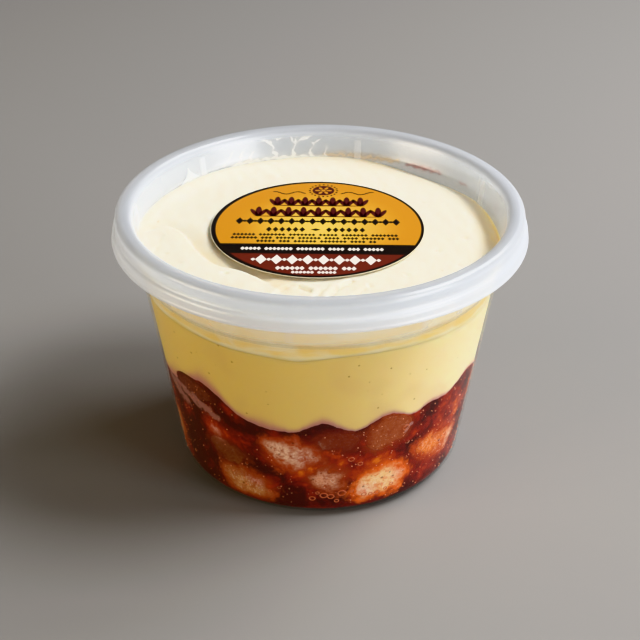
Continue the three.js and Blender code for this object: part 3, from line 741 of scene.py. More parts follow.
def milky_polypropylene(name, tint, roughness):
    """Natural polypropylene of the lid. Clear in the thin window and milky where it is thick, as
    each point's `milk` value says, with a broad soft gloss. The round crest bends the light away,
    so its tone is painted greyer there: painted shade."""
    material, tree = new_material(name)
    facing = add_node(tree, "ShaderNodeLayerWeight", {"Blend": 0.5})
    grazing = add_node(tree, "ShaderNodeMath", {0: facing.outputs["Facing"], 1: 4.0}, operation="POWER")
    shine = add_node(tree, "ShaderNodeMath", {0: grazing, 1: 0.3, 2: 0.035}, operation="MULTIPLY_ADD")
    place = add_node(tree, "ShaderNodeTexCoord")
    cloud = add_node(
        tree, "ShaderNodeTexNoise", {"Vector": place.outputs["Object"], "Scale": per_mm(30), "Detail": 1.0}
    )
    uneven = add_node(tree, "ShaderNodeMath", {0: cloud, 1: 0.3, 2: 0.85}, operation="MULTIPLY_ADD")
    milk = add_node(tree, "ShaderNodeAttribute", attribute_name="milk")
    cover = add_node(tree, "ShaderNodeMath", {0: milk.outputs["Fac"], 1: uneven}, operation="MULTIPLY")
    rise = add_node(tree, "ShaderNodeSeparateXYZ", {"Vector": place.outputs["Object"]}).outputs["Z"]
    # painted shade: the tone turns greyer towards the top of the crest
    crest_painted_shade = add_node(
        tree, "ShaderNodeMapRange",
        {
            "Value": rise, "From Min": (CREST_TOP - 2) * MM, "From Max": (CREST_TOP - 0.6) * MM,
            "To Min": 0.0, "To Max": 1.0,
        },
        interpolation_type="SMOOTHSTEP",
    )
    tone = add_node(
        tree, "ShaderNodeMix", {0: crest_painted_shade, 6: tint, 7: srgb("#c3c6cb")}, data_type="RGBA"
    ).outputs[2]
    through = add_node(tree, "ShaderNodeBsdfTransparent", {"Color": srgb("#ffffff")})
    white = add_node(tree, "ShaderNodeBsdfDiffuse", {"Color": tone})
    glow = add_node(tree, "ShaderNodeBsdfTranslucent", {"Color": tone})
    veil = add_node(tree, "ShaderNodeMixShader", {0: 0.5, 1: white, 2: glow})
    body = add_node(tree, "ShaderNodeMixShader", {0: cover, 1: through, 2: veil})
    skin = add_node(tree, "ShaderNodeBsdfAnisotropic", {"Color": srgb("#ffffff"), "Roughness": roughness})
    face = add_node(tree, "ShaderNodeMixShader", {0: shine, 1: body, 2: skin})
    add_node(tree, "ShaderNodeOutputMaterial", {"Surface": face})
    return material


def printed_paper(name, colour, drift, roughness, reach=None):
    """Varnished printed paper, under a soft shine. The ink drifts in tone, or shades from one tone
    in the middle of the label to the other at `reach` mm."""
    material, tree = new_material(name)
    place = add_node(tree, "ShaderNodeTexCoord")
    cloud = add_node(
        tree, "ShaderNodeTexNoise", {"Vector": place.outputs["Object"], "Scale": per_mm(11), "Detail": 3.0}
    )
    share = cloud
    if reach:
        flat = add_node(
            tree, "ShaderNodeVectorMath",
            {0: place.outputs["Object"], 1: (1.0, 1.0, 0.0)}, operation="MULTIPLY"
        )
        away = add_node(tree, "ShaderNodeVectorMath", {0: flat}, operation="LENGTH")
        share = add_node(
            tree, "ShaderNodeMapRange",
            {
                "Value": away.outputs["Value"], "From Min": 0.0, "From Max": reach * MM,
                "To Min": 1.0, "To Max": 0.0,
            },
            interpolation_type="SMOOTHSTEP",
        )
    tone = add_node(tree, "ShaderNodeMix", {0: share, 6: colour, 7: drift}, data_type="RGBA")
    paper = add_node(
        tree, "ShaderNodeBsdfPrincipled",
        {"Base Color": tone.outputs[2], "Roughness": roughness, "Coat Weight": 0.15, "Coat Roughness": 0.2},
    )
    add_node(tree, "ShaderNodeOutputMaterial", {"Surface": paper})
    return material


def whipped_cream_finish(name, colour):
    """Whipped cream, spread: soft, matte and slightly translucent. It is yellowed as each point's
    value says: towards the custard and in streaks at the wall, and as painted shade on its top.
    It holds a few ochre specks."""
    material, tree = new_material(name)
    place = add_node(tree, "ShaderNodeTexCoord")
    cloud = add_node(
        tree, "ShaderNodeTexNoise", {"Vector": place.outputs["Object"], "Scale": per_mm(16), "Detail": 3.0}
    )
    warm = add_node(tree, "ShaderNodeMix", {0: cloud, 6: colour, 7: srgb("#f0e9d4")}, data_type="RGBA")
    grains = add_node(
        tree, "ShaderNodeTexVoronoi",
        {"Vector": place.outputs["Object"], "Scale": per_mm(6.5)}, feature="F1"
    )
    speck = add_node(
        tree, "ShaderNodeMapRange",
        {
            "Value": grains.outputs["Distance"], "From Min": 0.03, "From Max": 0.06,
            "To Min": 0.6, "To Max": 0.0,
        },
    )
    tone = add_node(
        tree, "ShaderNodeMix", {0: speck, 6: warm.outputs[2], 7: srgb("#c9a860")}, data_type="RGBA"
    )
    # the painted value: yellow at the wall, and painted shade on the top
    custard_and_painted_shade = add_node(tree, "ShaderNodeAttribute", attribute_name="custard_and_painted_shade").outputs["Fac"]
    stretched = add_node(
        tree, "ShaderNodeVectorMath", {0: place.outputs["Object"], 1: (1.0, 1.0, 3.0)}, operation="MULTIPLY"
    )
    streaks = add_node(
        tree, "ShaderNodeTexNoise",
        {"Vector": stretched, "Scale": per_mm(11), "Detail": 3.0, "Distortion": 0.6},
    )
    streaky = add_node(
        tree, "ShaderNodeMapRange",
        {"Value": streaks, "From Min": 0.3, "From Max": 0.75, "To Min": 0.55, "To Max": 1.35},
    )
    drawn = add_node(tree, "ShaderNodeMath", {0: custard_and_painted_shade, 1: streaky}, operation="MULTIPLY", use_clamp=True)
    yellowed = add_node(
        tree, "ShaderNodeMix", {0: drawn, 6: tone.outputs[2], 7: srgb("#f3cf78")}, data_type="RGBA"
    )
    fine = add_node(
        tree, "ShaderNodeTexNoise", {"Vector": place.outputs["Object"], "Scale": per_mm(1.2), "Detail": 4.0}
    )
    relief = add_node(tree, "ShaderNodeBump", {"Height": fine, "Strength": 0.12, "Distance": 0.15 * MM})
    cream = add_node(
        tree, "ShaderNodeBsdfPrincipled",
        {
            "Base Color": yellowed.outputs[2], "Roughness": 0.5, "IOR": 1.45, "Normal": relief,
            "Specular IOR Level": 0.3,
            "Subsurface Weight": 1.0, "Subsurface Radius": (1.0, 0.9, 0.75), "Subsurface Scale": 2.5 * MM,
        },
    )
    add_node(tree, "ShaderNodeOutputMaterial", {"Surface": cream})
    return material


def set_custard_finish(name, colour):
    """Set custard against the wall: smooth and satin, with painted light that makes it paler on the
    right side where the light falls, dyed pink by the compote where its `fringe` says, with faint
    clouds and small brown specks of spice."""
    material, tree = new_material(name)
    place = add_node(tree, "ShaderNodeTexCoord")
    cloud = add_node(
        tree, "ShaderNodeTexNoise", {"Vector": place.outputs["Object"], "Scale": per_mm(18), "Detail": 2.0}
    )
    haze = add_node(
        tree, "ShaderNodeMapRange",
        {"Value": cloud, "From Min": 0.55, "From Max": 0.75, "To Min": 0.0, "To Max": 0.35},
    )
    # painted light: paler on the right side, where the light falls
    painted_light = add_node(tree, "ShaderNodeAttribute", attribute_name="painted_light").outputs["Fac"]
    tone = add_node(tree, "ShaderNodeMix", {0: painted_light, 6: colour, 7: srgb("#fdecbc")}, data_type="RGBA")
    base = add_node(
        tree, "ShaderNodeMix", {0: haze, 6: tone.outputs[2], 7: srgb("#c99c70")}, data_type="RGBA"
    )
    grains = add_node(
        tree, "ShaderNodeTexVoronoi",
        {"Vector": place.outputs["Object"], "Scale": per_mm(4.4)}, feature="F1"
    )
    speck = add_node(
        tree, "ShaderNodeMapRange",
        {
            "Value": grains.outputs["Distance"], "From Min": 0.05, "From Max": 0.085,
            "To Min": 0.7, "To Max": 0.0,
        },
    )
    spiced = add_node(
        tree, "ShaderNodeMix", {0: speck, 6: base.outputs[2], 7: srgb("#8f6a1c")}, data_type="RGBA"
    )
    fringe = add_node(tree, "ShaderNodeAttribute", attribute_name="fringe")
    dyed = add_node(
        tree, "ShaderNodeMix",
        {0: fringe.outputs["Fac"], 6: spiced.outputs[2], 7: srgb("#bc7e76")}, data_type="RGBA"
    )
    custard = add_node(
        tree, "ShaderNodeBsdfPrincipled",
        {
            "Base Color": dyed.outputs[2], "Roughness": 0.45, "IOR": 1.4, "Specular IOR Level": 0.2,
            "Subsurface Weight": 0.4, "Subsurface Radius": (1.0, 0.6, 0.2), "Subsurface Scale": 3 * MM,
        },
    )
    add_node(tree, "ShaderNodeOutputMaterial", {"Surface": custard})
    return material


def soaked_finish(name, softness, pore_size, gloss, crumb=1.0):
    """Stewed fruit jelly and what soaks in it. Dark red where it is thick and orange where a lump
    is near: `edge` is the distance to the nearest lump, `heart` and `rim` are that lump's colours,
    `glow` and `film` lighten the jelly, and pores and fibres open in the crumb."""
    material, tree = new_material(name)
    place = add_node(tree, "ShaderNodeTexCoord").outputs["Object"]
    swirl = add_node(tree, "ShaderNodeTexNoise", {"Vector": place, "Scale": per_mm(9), "Detail": 2.0})
    drift = add_node(
        tree, "ShaderNodeVectorMath", {0: swirl.outputs["Color"], 1: (3 * MM,) * 3, 2: place},
        operation="MULTIPLY_ADD",
    )
    broad = add_node(tree, "ShaderNodeTexNoise", {"Vector": drift, "Scale": per_mm(6), "Detail": 5.0})
    fine = add_node(
        tree, "ShaderNodeTexNoise", {"Vector": drift, "Scale": per_mm(1.7), "Detail": 5.0, "Roughness": 0.6}
    )
    edge = add_node(tree, "ShaderNodeAttribute", attribute_name="edge").outputs["Fac"]
    glow = add_node(tree, "ShaderNodeAttribute", attribute_name="glow").outputs["Fac"]
    film = add_node(tree, "ShaderNodeAttribute", attribute_name="film").outputs["Fac"]
    heart = add_node(tree, "ShaderNodeAttribute", attribute_name="heart").outputs["Color"]
    rim = add_node(tree, "ShaderNodeAttribute", attribute_name="rim").outputs["Color"]

    # the jelly: mottled, with the glows and the dark places
    mottled = add_node(tree, "ShaderNodeMath", {0: broad, 1: 1.9, 2: -0.72}, operation="MULTIPLY_ADD")
    grained = add_node(tree, "ShaderNodeMath", {0: fine, 1: 0.9, 2: -0.45}, operation="MULTIPLY_ADD")
    rough = add_node(tree, "ShaderNodeMath", {0: mottled, 1: grained}, operation="ADD")
    lit = add_node(
        tree, "ShaderNodeMath", {0: glow, 1: 0.55, 2: rough}, operation="MULTIPLY_ADD", use_clamp=True
    )
    jelly = add_node(tree, "ShaderNodeValToRGB", {"Fac": lit})
    tones = jelly.color_ramp.elements
    for thinness, _ in JELLY_TONES[1:-1]:
        tones.new(thinness)
    for tone, (_, code) in zip(tones, JELLY_TONES):
        tone.color = srgb(code)
    tones[len(JELLY_TONES) - 1].position = 1.0

    # the wandering distance to the lump, and how soaked and how bare the crumb is there
    sway = add_node(tree, "ShaderNodeMath", {0: broad, 1: 9.0, 2: -4.5}, operation="MULTIPLY_ADD")
    shiver = add_node(tree, "ShaderNodeMath", {0: fine, 1: 7.0, 2: -3.5}, operation="MULTIPLY_ADD")
    swayed = add_node(tree, "ShaderNodeMath", {0: edge, 1: sway}, operation="ADD")
    away = add_node(tree, "ShaderNodeMath", {0: swayed, 1: shiver}, operation="ADD")
    soaked = add_node(
        tree, "ShaderNodeMapRange",
        {"Value": away, "From Min": 2.6, "From Max": -0.6, "To Min": 0.0, "To Max": 1.0},
        interpolation_type="SMOOTHSTEP",
    )
    bare = add_node(
        tree, "ShaderNodeMapRange",
        {"Value": away, "From Min": 0.3, "From Max": -3.4 * softness, "To Min": 0.0, "To Max": 1.0},
        interpolation_type="SMOOTHSTEP",
    )
    rimmed = add_node(
        tree, "ShaderNodeMix",
        {0: soaked.outputs["Result"], 6: jelly.outputs["Color"], 7: rim}, data_type="RGBA"
    )

    # the crumb: fine pale and dark threads, stained patches and a few dark pores
    thread = add_node(
        tree, "ShaderNodeTexNoise",
        {"Vector": drift, "Scale": per_mm(0.9), "Detail": 4.0, "Roughness": 0.65, "Distortion": 1.2},
    )
    bright = add_node(
        tree, "ShaderNodeMapRange",
        {"Value": thread, "From Min": 0.52, "From Max": 0.7, "To Min": 0.0, "To Max": 0.55 * crumb},
    )
    dim = add_node(
        tree, "ShaderNodeMapRange",
        {"Value": thread, "From Min": 0.46, "From Max": 0.32, "To Min": 0.0, "To Max": 0.6 * crumb},
    )
    light = add_node(tree, "ShaderNodeMix", {0: bright, 6: heart, 7: srgb("#fbe4d0")}, data_type="RGBA")
    pale = add_node(tree, "ShaderNodeMix", {0: dim, 6: light.outputs[2], 7: rim}, data_type="RGBA")
    stained = add_node(
        tree, "ShaderNodeMapRange",
        {"Value": fine, "From Min": 0.52, "From Max": 0.38, "To Min": 0.0, "To Max": 0.6},
    )
    uneven = add_node(tree, "ShaderNodeMix", {0: stained, 6: pale.outputs[2], 7: rim}, data_type="RGBA")
    pores = add_node(
        tree, "ShaderNodeTexVoronoi", {"Vector": place, "Scale": per_mm(pore_size)}, feature="F1"
    )
    hole = add_node(
        tree, "ShaderNodeMapRange",
        {
            "Value": pores.outputs["Distance"], "From Min": 0.1, "From Max": 0.2,
            "To Min": 0.7 * crumb, "To Max": 0.0,
        },
    )
    pitted = add_node(
        tree, "ShaderNodeMix", {0: hole, 6: uneven.outputs[2], 7: srgb("#5a1608")}, data_type="RGBA"
    )
    food = add_node(
        tree, "ShaderNodeMix",
        {0: bare.outputs["Result"], 6: rimmed.outputs[2], 7: pitted.outputs[2]}, data_type="RGBA"
    )

    # the torn film of custard over it
    torn = add_node(tree, "ShaderNodeMath", {0: fine, 1: 3.0, 2: -1.6}, operation="MULTIPLY_ADD")
    laid = add_node(tree, "ShaderNodeMath", {0: film, 1: torn}, operation="ADD")
    wet = add_node(tree, "ShaderNodeMath", {0: film, 1: 6.0}, operation="MULTIPLY", use_clamp=True)
    thick = add_node(
        tree, "ShaderNodeMapRange",
        {"Value": laid, "From Min": 0.0, "From Max": 0.5, "To Min": 0.0, "To Max": 0.7},
    )
    covered = add_node(tree, "ShaderNodeMath", {0: thick, 1: wet}, operation="MULTIPLY")
    coated = add_node(
        tree, "ShaderNodeMix", {0: covered, 6: food.outputs[2], 7: srgb("#ac7c74")}, data_type="RGBA"
    )
    body = add_node(
        tree, "ShaderNodeBsdfPrincipled",
        {
            "Base Color": coated.outputs[2], "Roughness": gloss, "IOR": 1.4, "Specular IOR Level": 0.1,
            "Subsurface Weight": 0.15, "Subsurface Radius": (1.0, 0.3, 0.1), "Subsurface Scale": 1.5 * MM,
        },
    )
    add_node(tree, "ShaderNodeOutputMaterial", {"Surface": body})
    return material


def bubble_finish(name, middle, outline):
    """A small bubble of air in syrup, pressed to the wall: a darker middle with a pale ring round
    it, where its face turns from the view: a painted highlight.
    """
    material, tree = new_material(name)
    facing = add_node(tree, "ShaderNodeLayerWeight", {"Blend": 0.45})
    # painted highlight: paler where the face turns away from the view
    ring = add_node(
        tree, "ShaderNodeMapRange",
        {
            "Value": facing.outputs["Facing"], "From Min": 0.35, "From Max": 0.75,
            "To Min": 0.0, "To Max": 1.0,
        },
    )
    tone = add_node(tree, "ShaderNodeMix", {0: ring, 6: middle, 7: outline}, data_type="RGBA")
    bead = add_node(
        tree, "ShaderNodeBsdfPrincipled", {"Base Color": tone.outputs[2], "Roughness": 0.25, "IOR": 1.4}
    )
    add_node(tree, "ShaderNodeOutputMaterial", {"Surface": bead})
    return material


def smear_finish(name, colour, most):
    """A thin film of food on plastic: `cover` says where it lies, and it is so thin and broken at
    its edges that the plastic shows."""
    material, tree = new_material(name)
    place = add_node(tree, "ShaderNodeTexCoord")
    cloud = add_node(
        tree, "ShaderNodeTexNoise", {"Vector": place.outputs["Object"], "Scale": per_mm(1.3), "Detail": 4.0}
    )
    uneven = add_node(tree, "ShaderNodeMath", {0: cloud, 1: 1.5, 2: -0.75}, operation="MULTIPLY_ADD")
    cover = add_node(tree, "ShaderNodeAttribute", attribute_name="cover").outputs["Fac"]
    patchy = add_node(tree, "ShaderNodeMath", {0: cover, 1: uneven}, operation="ADD")
    thickness = add_node(
        tree, "ShaderNodeMapRange",
        {"Value": patchy, "From Min": -0.1, "From Max": 1.0, "To Min": 0.0, "To Max": most},
        interpolation_type="SMOOTHSTEP",
    )
    lying = add_node(
        tree, "ShaderNodeMapRange",
        {"Value": cover, "From Min": 0.0, "From Max": 0.15, "To Min": 0.0, "To Max": 1.0},
    )
    shown = add_node(tree, "ShaderNodeMath", {0: thickness, 1: lying}, operation="MULTIPLY")
    through = add_node(tree, "ShaderNodeBsdfTransparent")
    smear = add_node(tree, "ShaderNodeBsdfPrincipled", {"Base Color": colour, "Roughness": 0.4, "IOR": 1.4})
    body = add_node(tree, "ShaderNodeMixShader", {0: shown, 1: through, 2: smear})
    add_node(tree, "ShaderNodeOutputMaterial", {"Surface": body})
    return material


def matte_floor(name, colour):
    """A plain matte studio floor: even and without shine."""
    material, tree = new_material(name)
    body = add_node(tree, "ShaderNodeBsdfPrincipled", {"Base Color": colour, "Roughness": 0.85})
    add_node(tree, "ShaderNodeOutputMaterial", {"Surface": body})
    return material


# ---------- settings ----------


def colour_setting(name, description, code):
    return FloatVectorProperty(
        name=name, description=description, default=srgb(code), size=4, subtype="COLOR"
    )


def share_setting(name, description, default):
    return FloatProperty(
        name=name, description=description, default=default, min=0, max=1, subtype="FACTOR"
    )


def power_setting(name, description, default):
    return FloatProperty(name=name, description=description, default=default, min=0, unit="POWER")


def count_setting(name, description, default, least):
    return IntProperty(name=name, description=description, default=default, min=least)


class TubSettings(bpy.types.PropertyGroup):
    segments: count_setting("Segments", "Facets round the tub and the lid", 256, 32)
    tint: colour_setting("Tint", "Colour of the clear plastic", "#f4f6f5")
    haze: share_setting("Haze", "Share of the light that a clear face scatters", 0.02)
    lid_tint: colour_setting("Lid tint", "Colour of the milky plastic", "#e9edf4")
    lid_milk: share_setting("Lid milkiness", "How much the lid's skirt hides", 0.42)
    roughness: share_setting("Roughness", "Roughness of the moulded faces", 0.26)


class LabelSettings(bpy.types.PropertyGroup):
    print_height: FloatProperty(
        name="Print height", description="Thickness of the printed layers", default=0.02 * MM,
        subtype="DISTANCE", unit="LENGTH", precision=6,
    )
    tilt: FloatProperty(
        name="Tilt", description="Turn of the label on the lid", default=math.radians(-1.3),
        subtype="ANGLE", unit="ROTATION",
    )
    gold: colour_setting("Gold", "Colour of the upper field", "#b87d1c")
    maroon: colour_setting("Maroon", "Colour of the lower field", "#55180d")


class FoodSettings(bpy.types.PropertyGroup):
    segments: count_setting("Segments", "Facets round the layers", 560, 64)
    cream: colour_setting("Cream", "Colour of the whipped cream", "#f1ecdb")
    custard: colour_setting("Custard", "Colour of the custard", "#e3c170")


class StageSettings(bpy.types.PropertyGroup):
    floor: colour_setting("Floor", "Colour of the studio floor", "#7f7d7a")
    key: power_setting("Key light", "Power of the large light high at the right", 16.5)
    fill: power_setting("Fill lights", "Power of each low light at the front", 17)
    sky: FloatProperty(
        name="Room light", description="Strength of the even light all round", default=0.16, min=0
    )


# ---------- the pieces ----------


def tub_outline():
    heights = (SHOULDER_LOW, SHOULDER_HIGH, BEAD_HEIGHT - BEAD_THICK - 0.1)
    outer = [(float(wall_radius(z, 0)), z) for z in heights]
    heights = (BEAD_HEIGHT + 0.3, SHOULDER_HIGH, SHOULDER_LOW)
    inner = [(float(wall_radius(z, WALL)), z) for z in heights]
    lean = math.degrees(LEAN)
    return [
        (0, RECESS_DEPTH), (RECESS_RADIUS, RECESS_DEPTH), (RECESS_EDGE, 0),
        *arc(HEEL_MIDDLE, HEEL_RADIUS, HEEL_RADIUS, -90, -lean, 8),
        *outer,
        *arc(BEAD_RADIUS, BEAD_HEIGHT, BEAD_THICK, -95, 150, 12),
        *inner,
        *arc(HEEL_MIDDLE, HEEL_RADIUS, HEEL_RADIUS - WALL, -lean, -90, 8),
        (RECESS_EDGE + WALL, WALL), (RECESS_RADIUS, RECESS_DEPTH + WALL), (0, RECESS_DEPTH + WALL),
    ]


def lid_outline():
    band_inner = BAND_RADIUS - BAND_WALL
    skirt_inner = SKIRT_RADIUS - SKIRT_WALL
    crest_under = CREST_TOP - CREST_THICK
    shoulder = CREST_TOP - BAND_SHOULDER
    return [
        (0, WINDOW_UNDER), (PLUG_LOW[0] - 0.15, WINDOW_UNDER), (PLUG_LOW[0] + PLUG_WALL, PLUG_LOW[1]),
        (PLUG_HIGH[0] + PLUG_WALL, PLUG_HIGH[1]), (CREST_INNER - 1.15, crest_under - 0.35),
        (CREST_INNER - 0.6, crest_under), (CREST_INNER + 1, crest_under), (band_inner, shoulder),
        (band_inner, BAND_FOOT + 1), (band_inner - 0.6, BAND_FOOT), (band_inner + 0.5, BAND_FOOT - 0.8),
        (skirt_inner, SKIRT_TOP - 1.1), (skirt_inner, LIP_BOTTOM), (LIP_RADIUS - 0.25, LIP_BOTTOM),
        (LIP_RADIUS, LIP_BOTTOM + 0.25), (LIP_RADIUS, LIP_TOP), (SKIRT_RADIUS, LIP_TOP + 0.3),
        (SKIRT_RADIUS - 0.15, SKIRT_TOP - 0.2), (BAND_RADIUS - 0.15, BAND_FOOT),
        *arc(BAND_RADIUS - BAND_SHOULDER, shoulder, BAND_SHOULDER, 0, 90, 8),
        (CREST_INNER, CREST_TOP), (CREST_INNER - 1, CREST_TOP - 0.25), (CREST_INNER - 1.7, CREST_TOP - 1.1),
        PLUG_HIGH, PLUG_LOW, (PLUG_LOW[0] - 0.6, WINDOW_TOP), (0, WINDOW_TOP),
    ]


def outline_mesh(name, outline, milk):
    """An outline as a row of points for the turned shell, with the milk value of each."""
    points = np.array([(radius, 0, height) for radius, height in outline])
    return point_mesh(name, points, milk=milk)


class PUDDING_OT_tub(bpy.types.Operator):
    """Mould the clear tub: foot ring, tapered wall, shoulder and rolled rim"""

    bl_idname = "pudding.tub"
    bl_label = "Tub"

    def execute(self, context):
        tub = context.scene.pudding_tub
        plastic = clear_polypropylene("clear polypropylene", tub.tint, tub.haze, tub.roughness)
        outline = softened(tub_outline(), 2)
        frost = COLLAR_FROST * smoothstep(outline[:, 1], SHOULDER_LOW - 0.3, SHOULDER_HIGH)
        start = outline_mesh("tub_outline", outline, frost)
        values = {"Segments": tub.segments, "Material": plastic}
        deliver(grown("tub_shell", start, turned_shell_tree(), values), "tub_plastic", "tub")

        foot = SHOULDER_HIGH + 0.3
        azimuths = np.array(RIB_AZIMUTHS, float)
        points = polar(azimuths, wall_radius(foot, WALL) + 0.1, foot)
        start = point_mesh("rib_feet", points, azimuth=np.radians(azimuths))
        plastic = clear_polypropylene("thick polypropylene", srgb("#ffffff"), 0.35, 0.4, 0.05)
        values = {
            "Width": RIB_WIDTH * MM, "Depth": RIB_DEPTH * MM, "Length": (RIB_TOP - foot) * MM,
            "Lean": LEAN, "Material": plastic,
        }
        deliver(grown("tub_ribs", start, ribs_tree(), values), "tub_plastic", "tub")
        return {"FINISHED"}


class PUDDING_OT_lid(bpy.types.Operator):
    """Mould the lid: clear window, plug wall, round crest, band and skirt"""

    bl_idname = "pudding.lid"
    bl_label = "Lid"

    def execute(self, context):
        tub = context.scene.pudding_tub
        plastic = milky_polypropylene("natural polypropylene", tub.lid_tint, tub.roughness)
        outline = softened(lid_outline(), 2)
        radius, height = outline.T
        crest = smoothstep(height, PLUG_HIGH[1] - 0.5, PLUG_HIGH[1] + 2)
        skirt = smoothstep(radius, CREST_INNER + 0.5, BAND_RADIUS)
        plug = smoothstep(radius, PLUG_LOW[0] - 0.7, PLUG_LOW[0] + 0.3)
        milk = 0.012 + 0.17 * plug + tub.lid_milk * (1.25 * crest * (1 - skirt) + skirt)
        start = outline_mesh("lid_outline", outline, milk)
        values = {"Segments": tub.segments, "Material": plastic}
        deliver(grown("lid_shell", start, turned_shell_tree(), values), "lid_plastic", "lid")
        return {"FINISHED"}


def segment_outline(radius, low, high, shift):
    """Corners of a round field cut off below and above, anticlockwise."""
    low_angle, high_angle = (math.asin(np.clip(y / radius, -1, 1)) for y in (low, high))
    right = np.linspace(low_angle, high_angle, 90)
    corners = [(radius * math.cos(a), radius * math.sin(a)) for a in right]
    left = [(-x, y) for x, y in reversed(corners)]
    points = [*corners, *left]
    kept = [p for i, p in enumerate(points) if math.dist(p, points[i - 1]) > 1e-4]
    return np.array(kept) + (shift, 0)


def on_label(x, y, tilt):
    """Places of the print, turned and shifted with the label on the lid."""
    cos, sin = math.cos(tilt), math.sin(tilt)
    return x * cos - y * sin + LABEL_SHIFT, x * sin + y * cos


def flat_field(name, outline, low, high, tilt, material):
    """A thin flat field of print between two heights, turned with the label."""
    x, y = on_label(outline[:, 0], outline[:, 1], tilt)
    count = len(outline)
    under = np.column_stack([x, y, np.full(count, low)])
    over = np.column_stack([x, y, np.full(count, high)])
    sides = [(i, (i + 1) % count, (i + 1) % count + count, i + count) for i in range(count)]
    faces = [tuple(range(count - 1, -1, -1)), tuple(range(count, 2 * count)), *sides]
    piece = new_piece(name, np.vstack([under, over]), faces, material)
    piece.data.shade_flat()
    return piece


class PUDDING_OT_label(bpy.types.Operator):
    """Cut and print the round label: pale margin, dark rim, gold, black and maroon fields, and a
    generic pattern of leaves, a flower, beads and diamonds"""

    bl_idname = "pudding.label"
    bl_label = "Label"

    def execute(self, context):
        label = context.scene.pudding_label
        layer = label.print_height / MM
        base = LABEL_FACE - 3 * layer
        paper = printed_paper("label paper", srgb("#ece4cc"), srgb("#e2d6b4"), 0.5)
        gold = printed_paper("gold print", label.gold, srgb("#e4c24c"), 0.45, GOLD_REACH)
        black = printed_paper("black print", srgb("#0b0605"), srgb("#120a08"), 0.4)
        maroon = printed_paper("maroon print", label.maroon, srgb("#602012"), 0.45)
        wine = printed_paper("wine print", srgb("#3a0a0c"), srgb("#480f10"), 0.45)
        white = printed_paper("white print", srgb("#f2ece2"), srgb("#e6ddd2"), 0.45)
        whole = (LABEL_RADIUS, -LABEL_RADIUS, LABEL_RADIUS, 0)
        rim = (RIM_RADIUS, -RIM_RADIUS, RIM_RADIUS, 0)
        upper = (FIELD_RADIUS, GOLD_FOOT, FIELD_RADIUS, FIELD_SHIFT)
        lower = (FIELD_RADIUS, -FIELD_RADIUS, MAROON_TOP, FIELD_SHIFT)
        for name, shape, under, over, ink in (
            ("label_paper", whole, LABEL_FACE - LABEL_THICK, base, paper),
            ("label_rim", rim, base - layer / 2, base + layer, black),
            ("label_gold", upper, base, base + 2 * layer, gold),
            ("label_maroon", lower, base, base + 2 * layer, maroon),
        ):
            field = flat_field(name, segment_outline(*shape), under, over, label.tilt, ink)
            deliver(field, "label_paper", "label")
        tree = marks_tree()
        height = base + 2.5 * layer
        for name, corners, ink, marks in (
            ("label_leaves", 16, wine, self.leaves()),
            ("label_beads", 12, black, self.beads()),
            ("label_diamonds", 4, black, self.diamonds()),
            ("label_petals", 4, white, self.petals()),
            ("label_flower", 16, gold, self.flower()),
        ):
            marks = np.array(marks)
            x, y = on_label(marks[:, 0], marks[:, 1], label.tilt)
            spots = np.column_stack([x, y, np.full(len(x), height)])
            lift = 1.5 * layer if ink is gold else layer
            sizes = np.column_stack([marks[:, 2] / 2, marks[:, 3] / 2, np.full(len(x), lift)]) * MM
            turned = np.radians(marks[:, 4]) + label.tilt
            start = point_mesh(name + "_spots", spots, size=sizes, turned=turned)
            piece = grown(name, start, tree, {"Corners": corners, "Material": ink})
            deliver(piece, "label_paper", "label")
        return {"FINISHED"}

    # Each mark is (x, y, length, width, turn in degrees).

    def leaves(self):
        """Two bold garlands of leaves on a stem, and a round fruit above them."""
        marks = [(1.2, 24.0, 6.6, 6.6, 0)]
        for y, half, step, tall in ((16.2, 12.2, 4.07, 6.2), (9.2, 17.4, 4.35, 6.6)):
            for x in np.arange(-half, half + 0.1, step):
                marks.append((x, y + 0.2, 1.9, tall, 0))
                marks += [(x + side * 1.25, y - 0.5, 1.5, tall * 0.8, -side * 24) for side in (-1, 1)]
            marks.append((0, y - tall / 2 + 0.5, 2 * half + 3, 0.75, 0))
        return marks

    def beads(self):
        """Beads between the diamonds, and a ring and curls at the top."""
        marks = [(x + 1.5, 3.2, 1.3, 1.3, 0) for x in np.arange(-22.5, 21, 3.0)]
        for angle in range(0, 360, 18):
            x, y = 4.1 * math.cos(math.radians(angle)), 4.1 * math.sin(math.radians(angle))
            marks.append((1.2 + x, 24.0 + y, 0.7, 0.7, 0))
        for side in (-1, 1):
            for i in range(8):
                spread = 5.9 + 1.2 * i
                rise = 22.2 + 0.8 * math.sin(i * 1.1)
                marks.append((1.2 + side * spread, rise, 1.7, 0.55, side * 30 * math.cos(i * 1.1)))
        return marks

    def band(self, y, left, right, width, tall, random):
        """Lozenges side by side in small groups."""
        marks = []
        x = left
        while x < right:
            for _ in range(random.integers(3, 8)):
                marks.append((x, y, width, tall, 0))
                x += width * 0.94
            x += width * 0.8
        return [mark for mark in marks if mark[0] < right]

    def diamonds(self):
        """A row of diamonds, a row of smaller ones, and three fine bands of lozenges."""
        random = np.random.default_rng(4)
        marks = [(x, 3.2, 2.3, 4.4, 0) for x in np.arange(-22.5, 22.6, 3.0)]
        marks += [(x, -2.0, 1.7, 3.2, 0) for x in np.arange(-13.8, 13, 1.9) if abs(x + 0.5) > 2.2]
        marks.append((-0.5, -2.0, 3.0, 1.6, 0))
        for y, left, right in ((-5.3, -23.4, 23), (-7.3, -23.8, 23.4), (-9.3, -16.5, 16.8)):
            marks += self.band(y, left, right, 1.15, 1.75, random)
        return marks

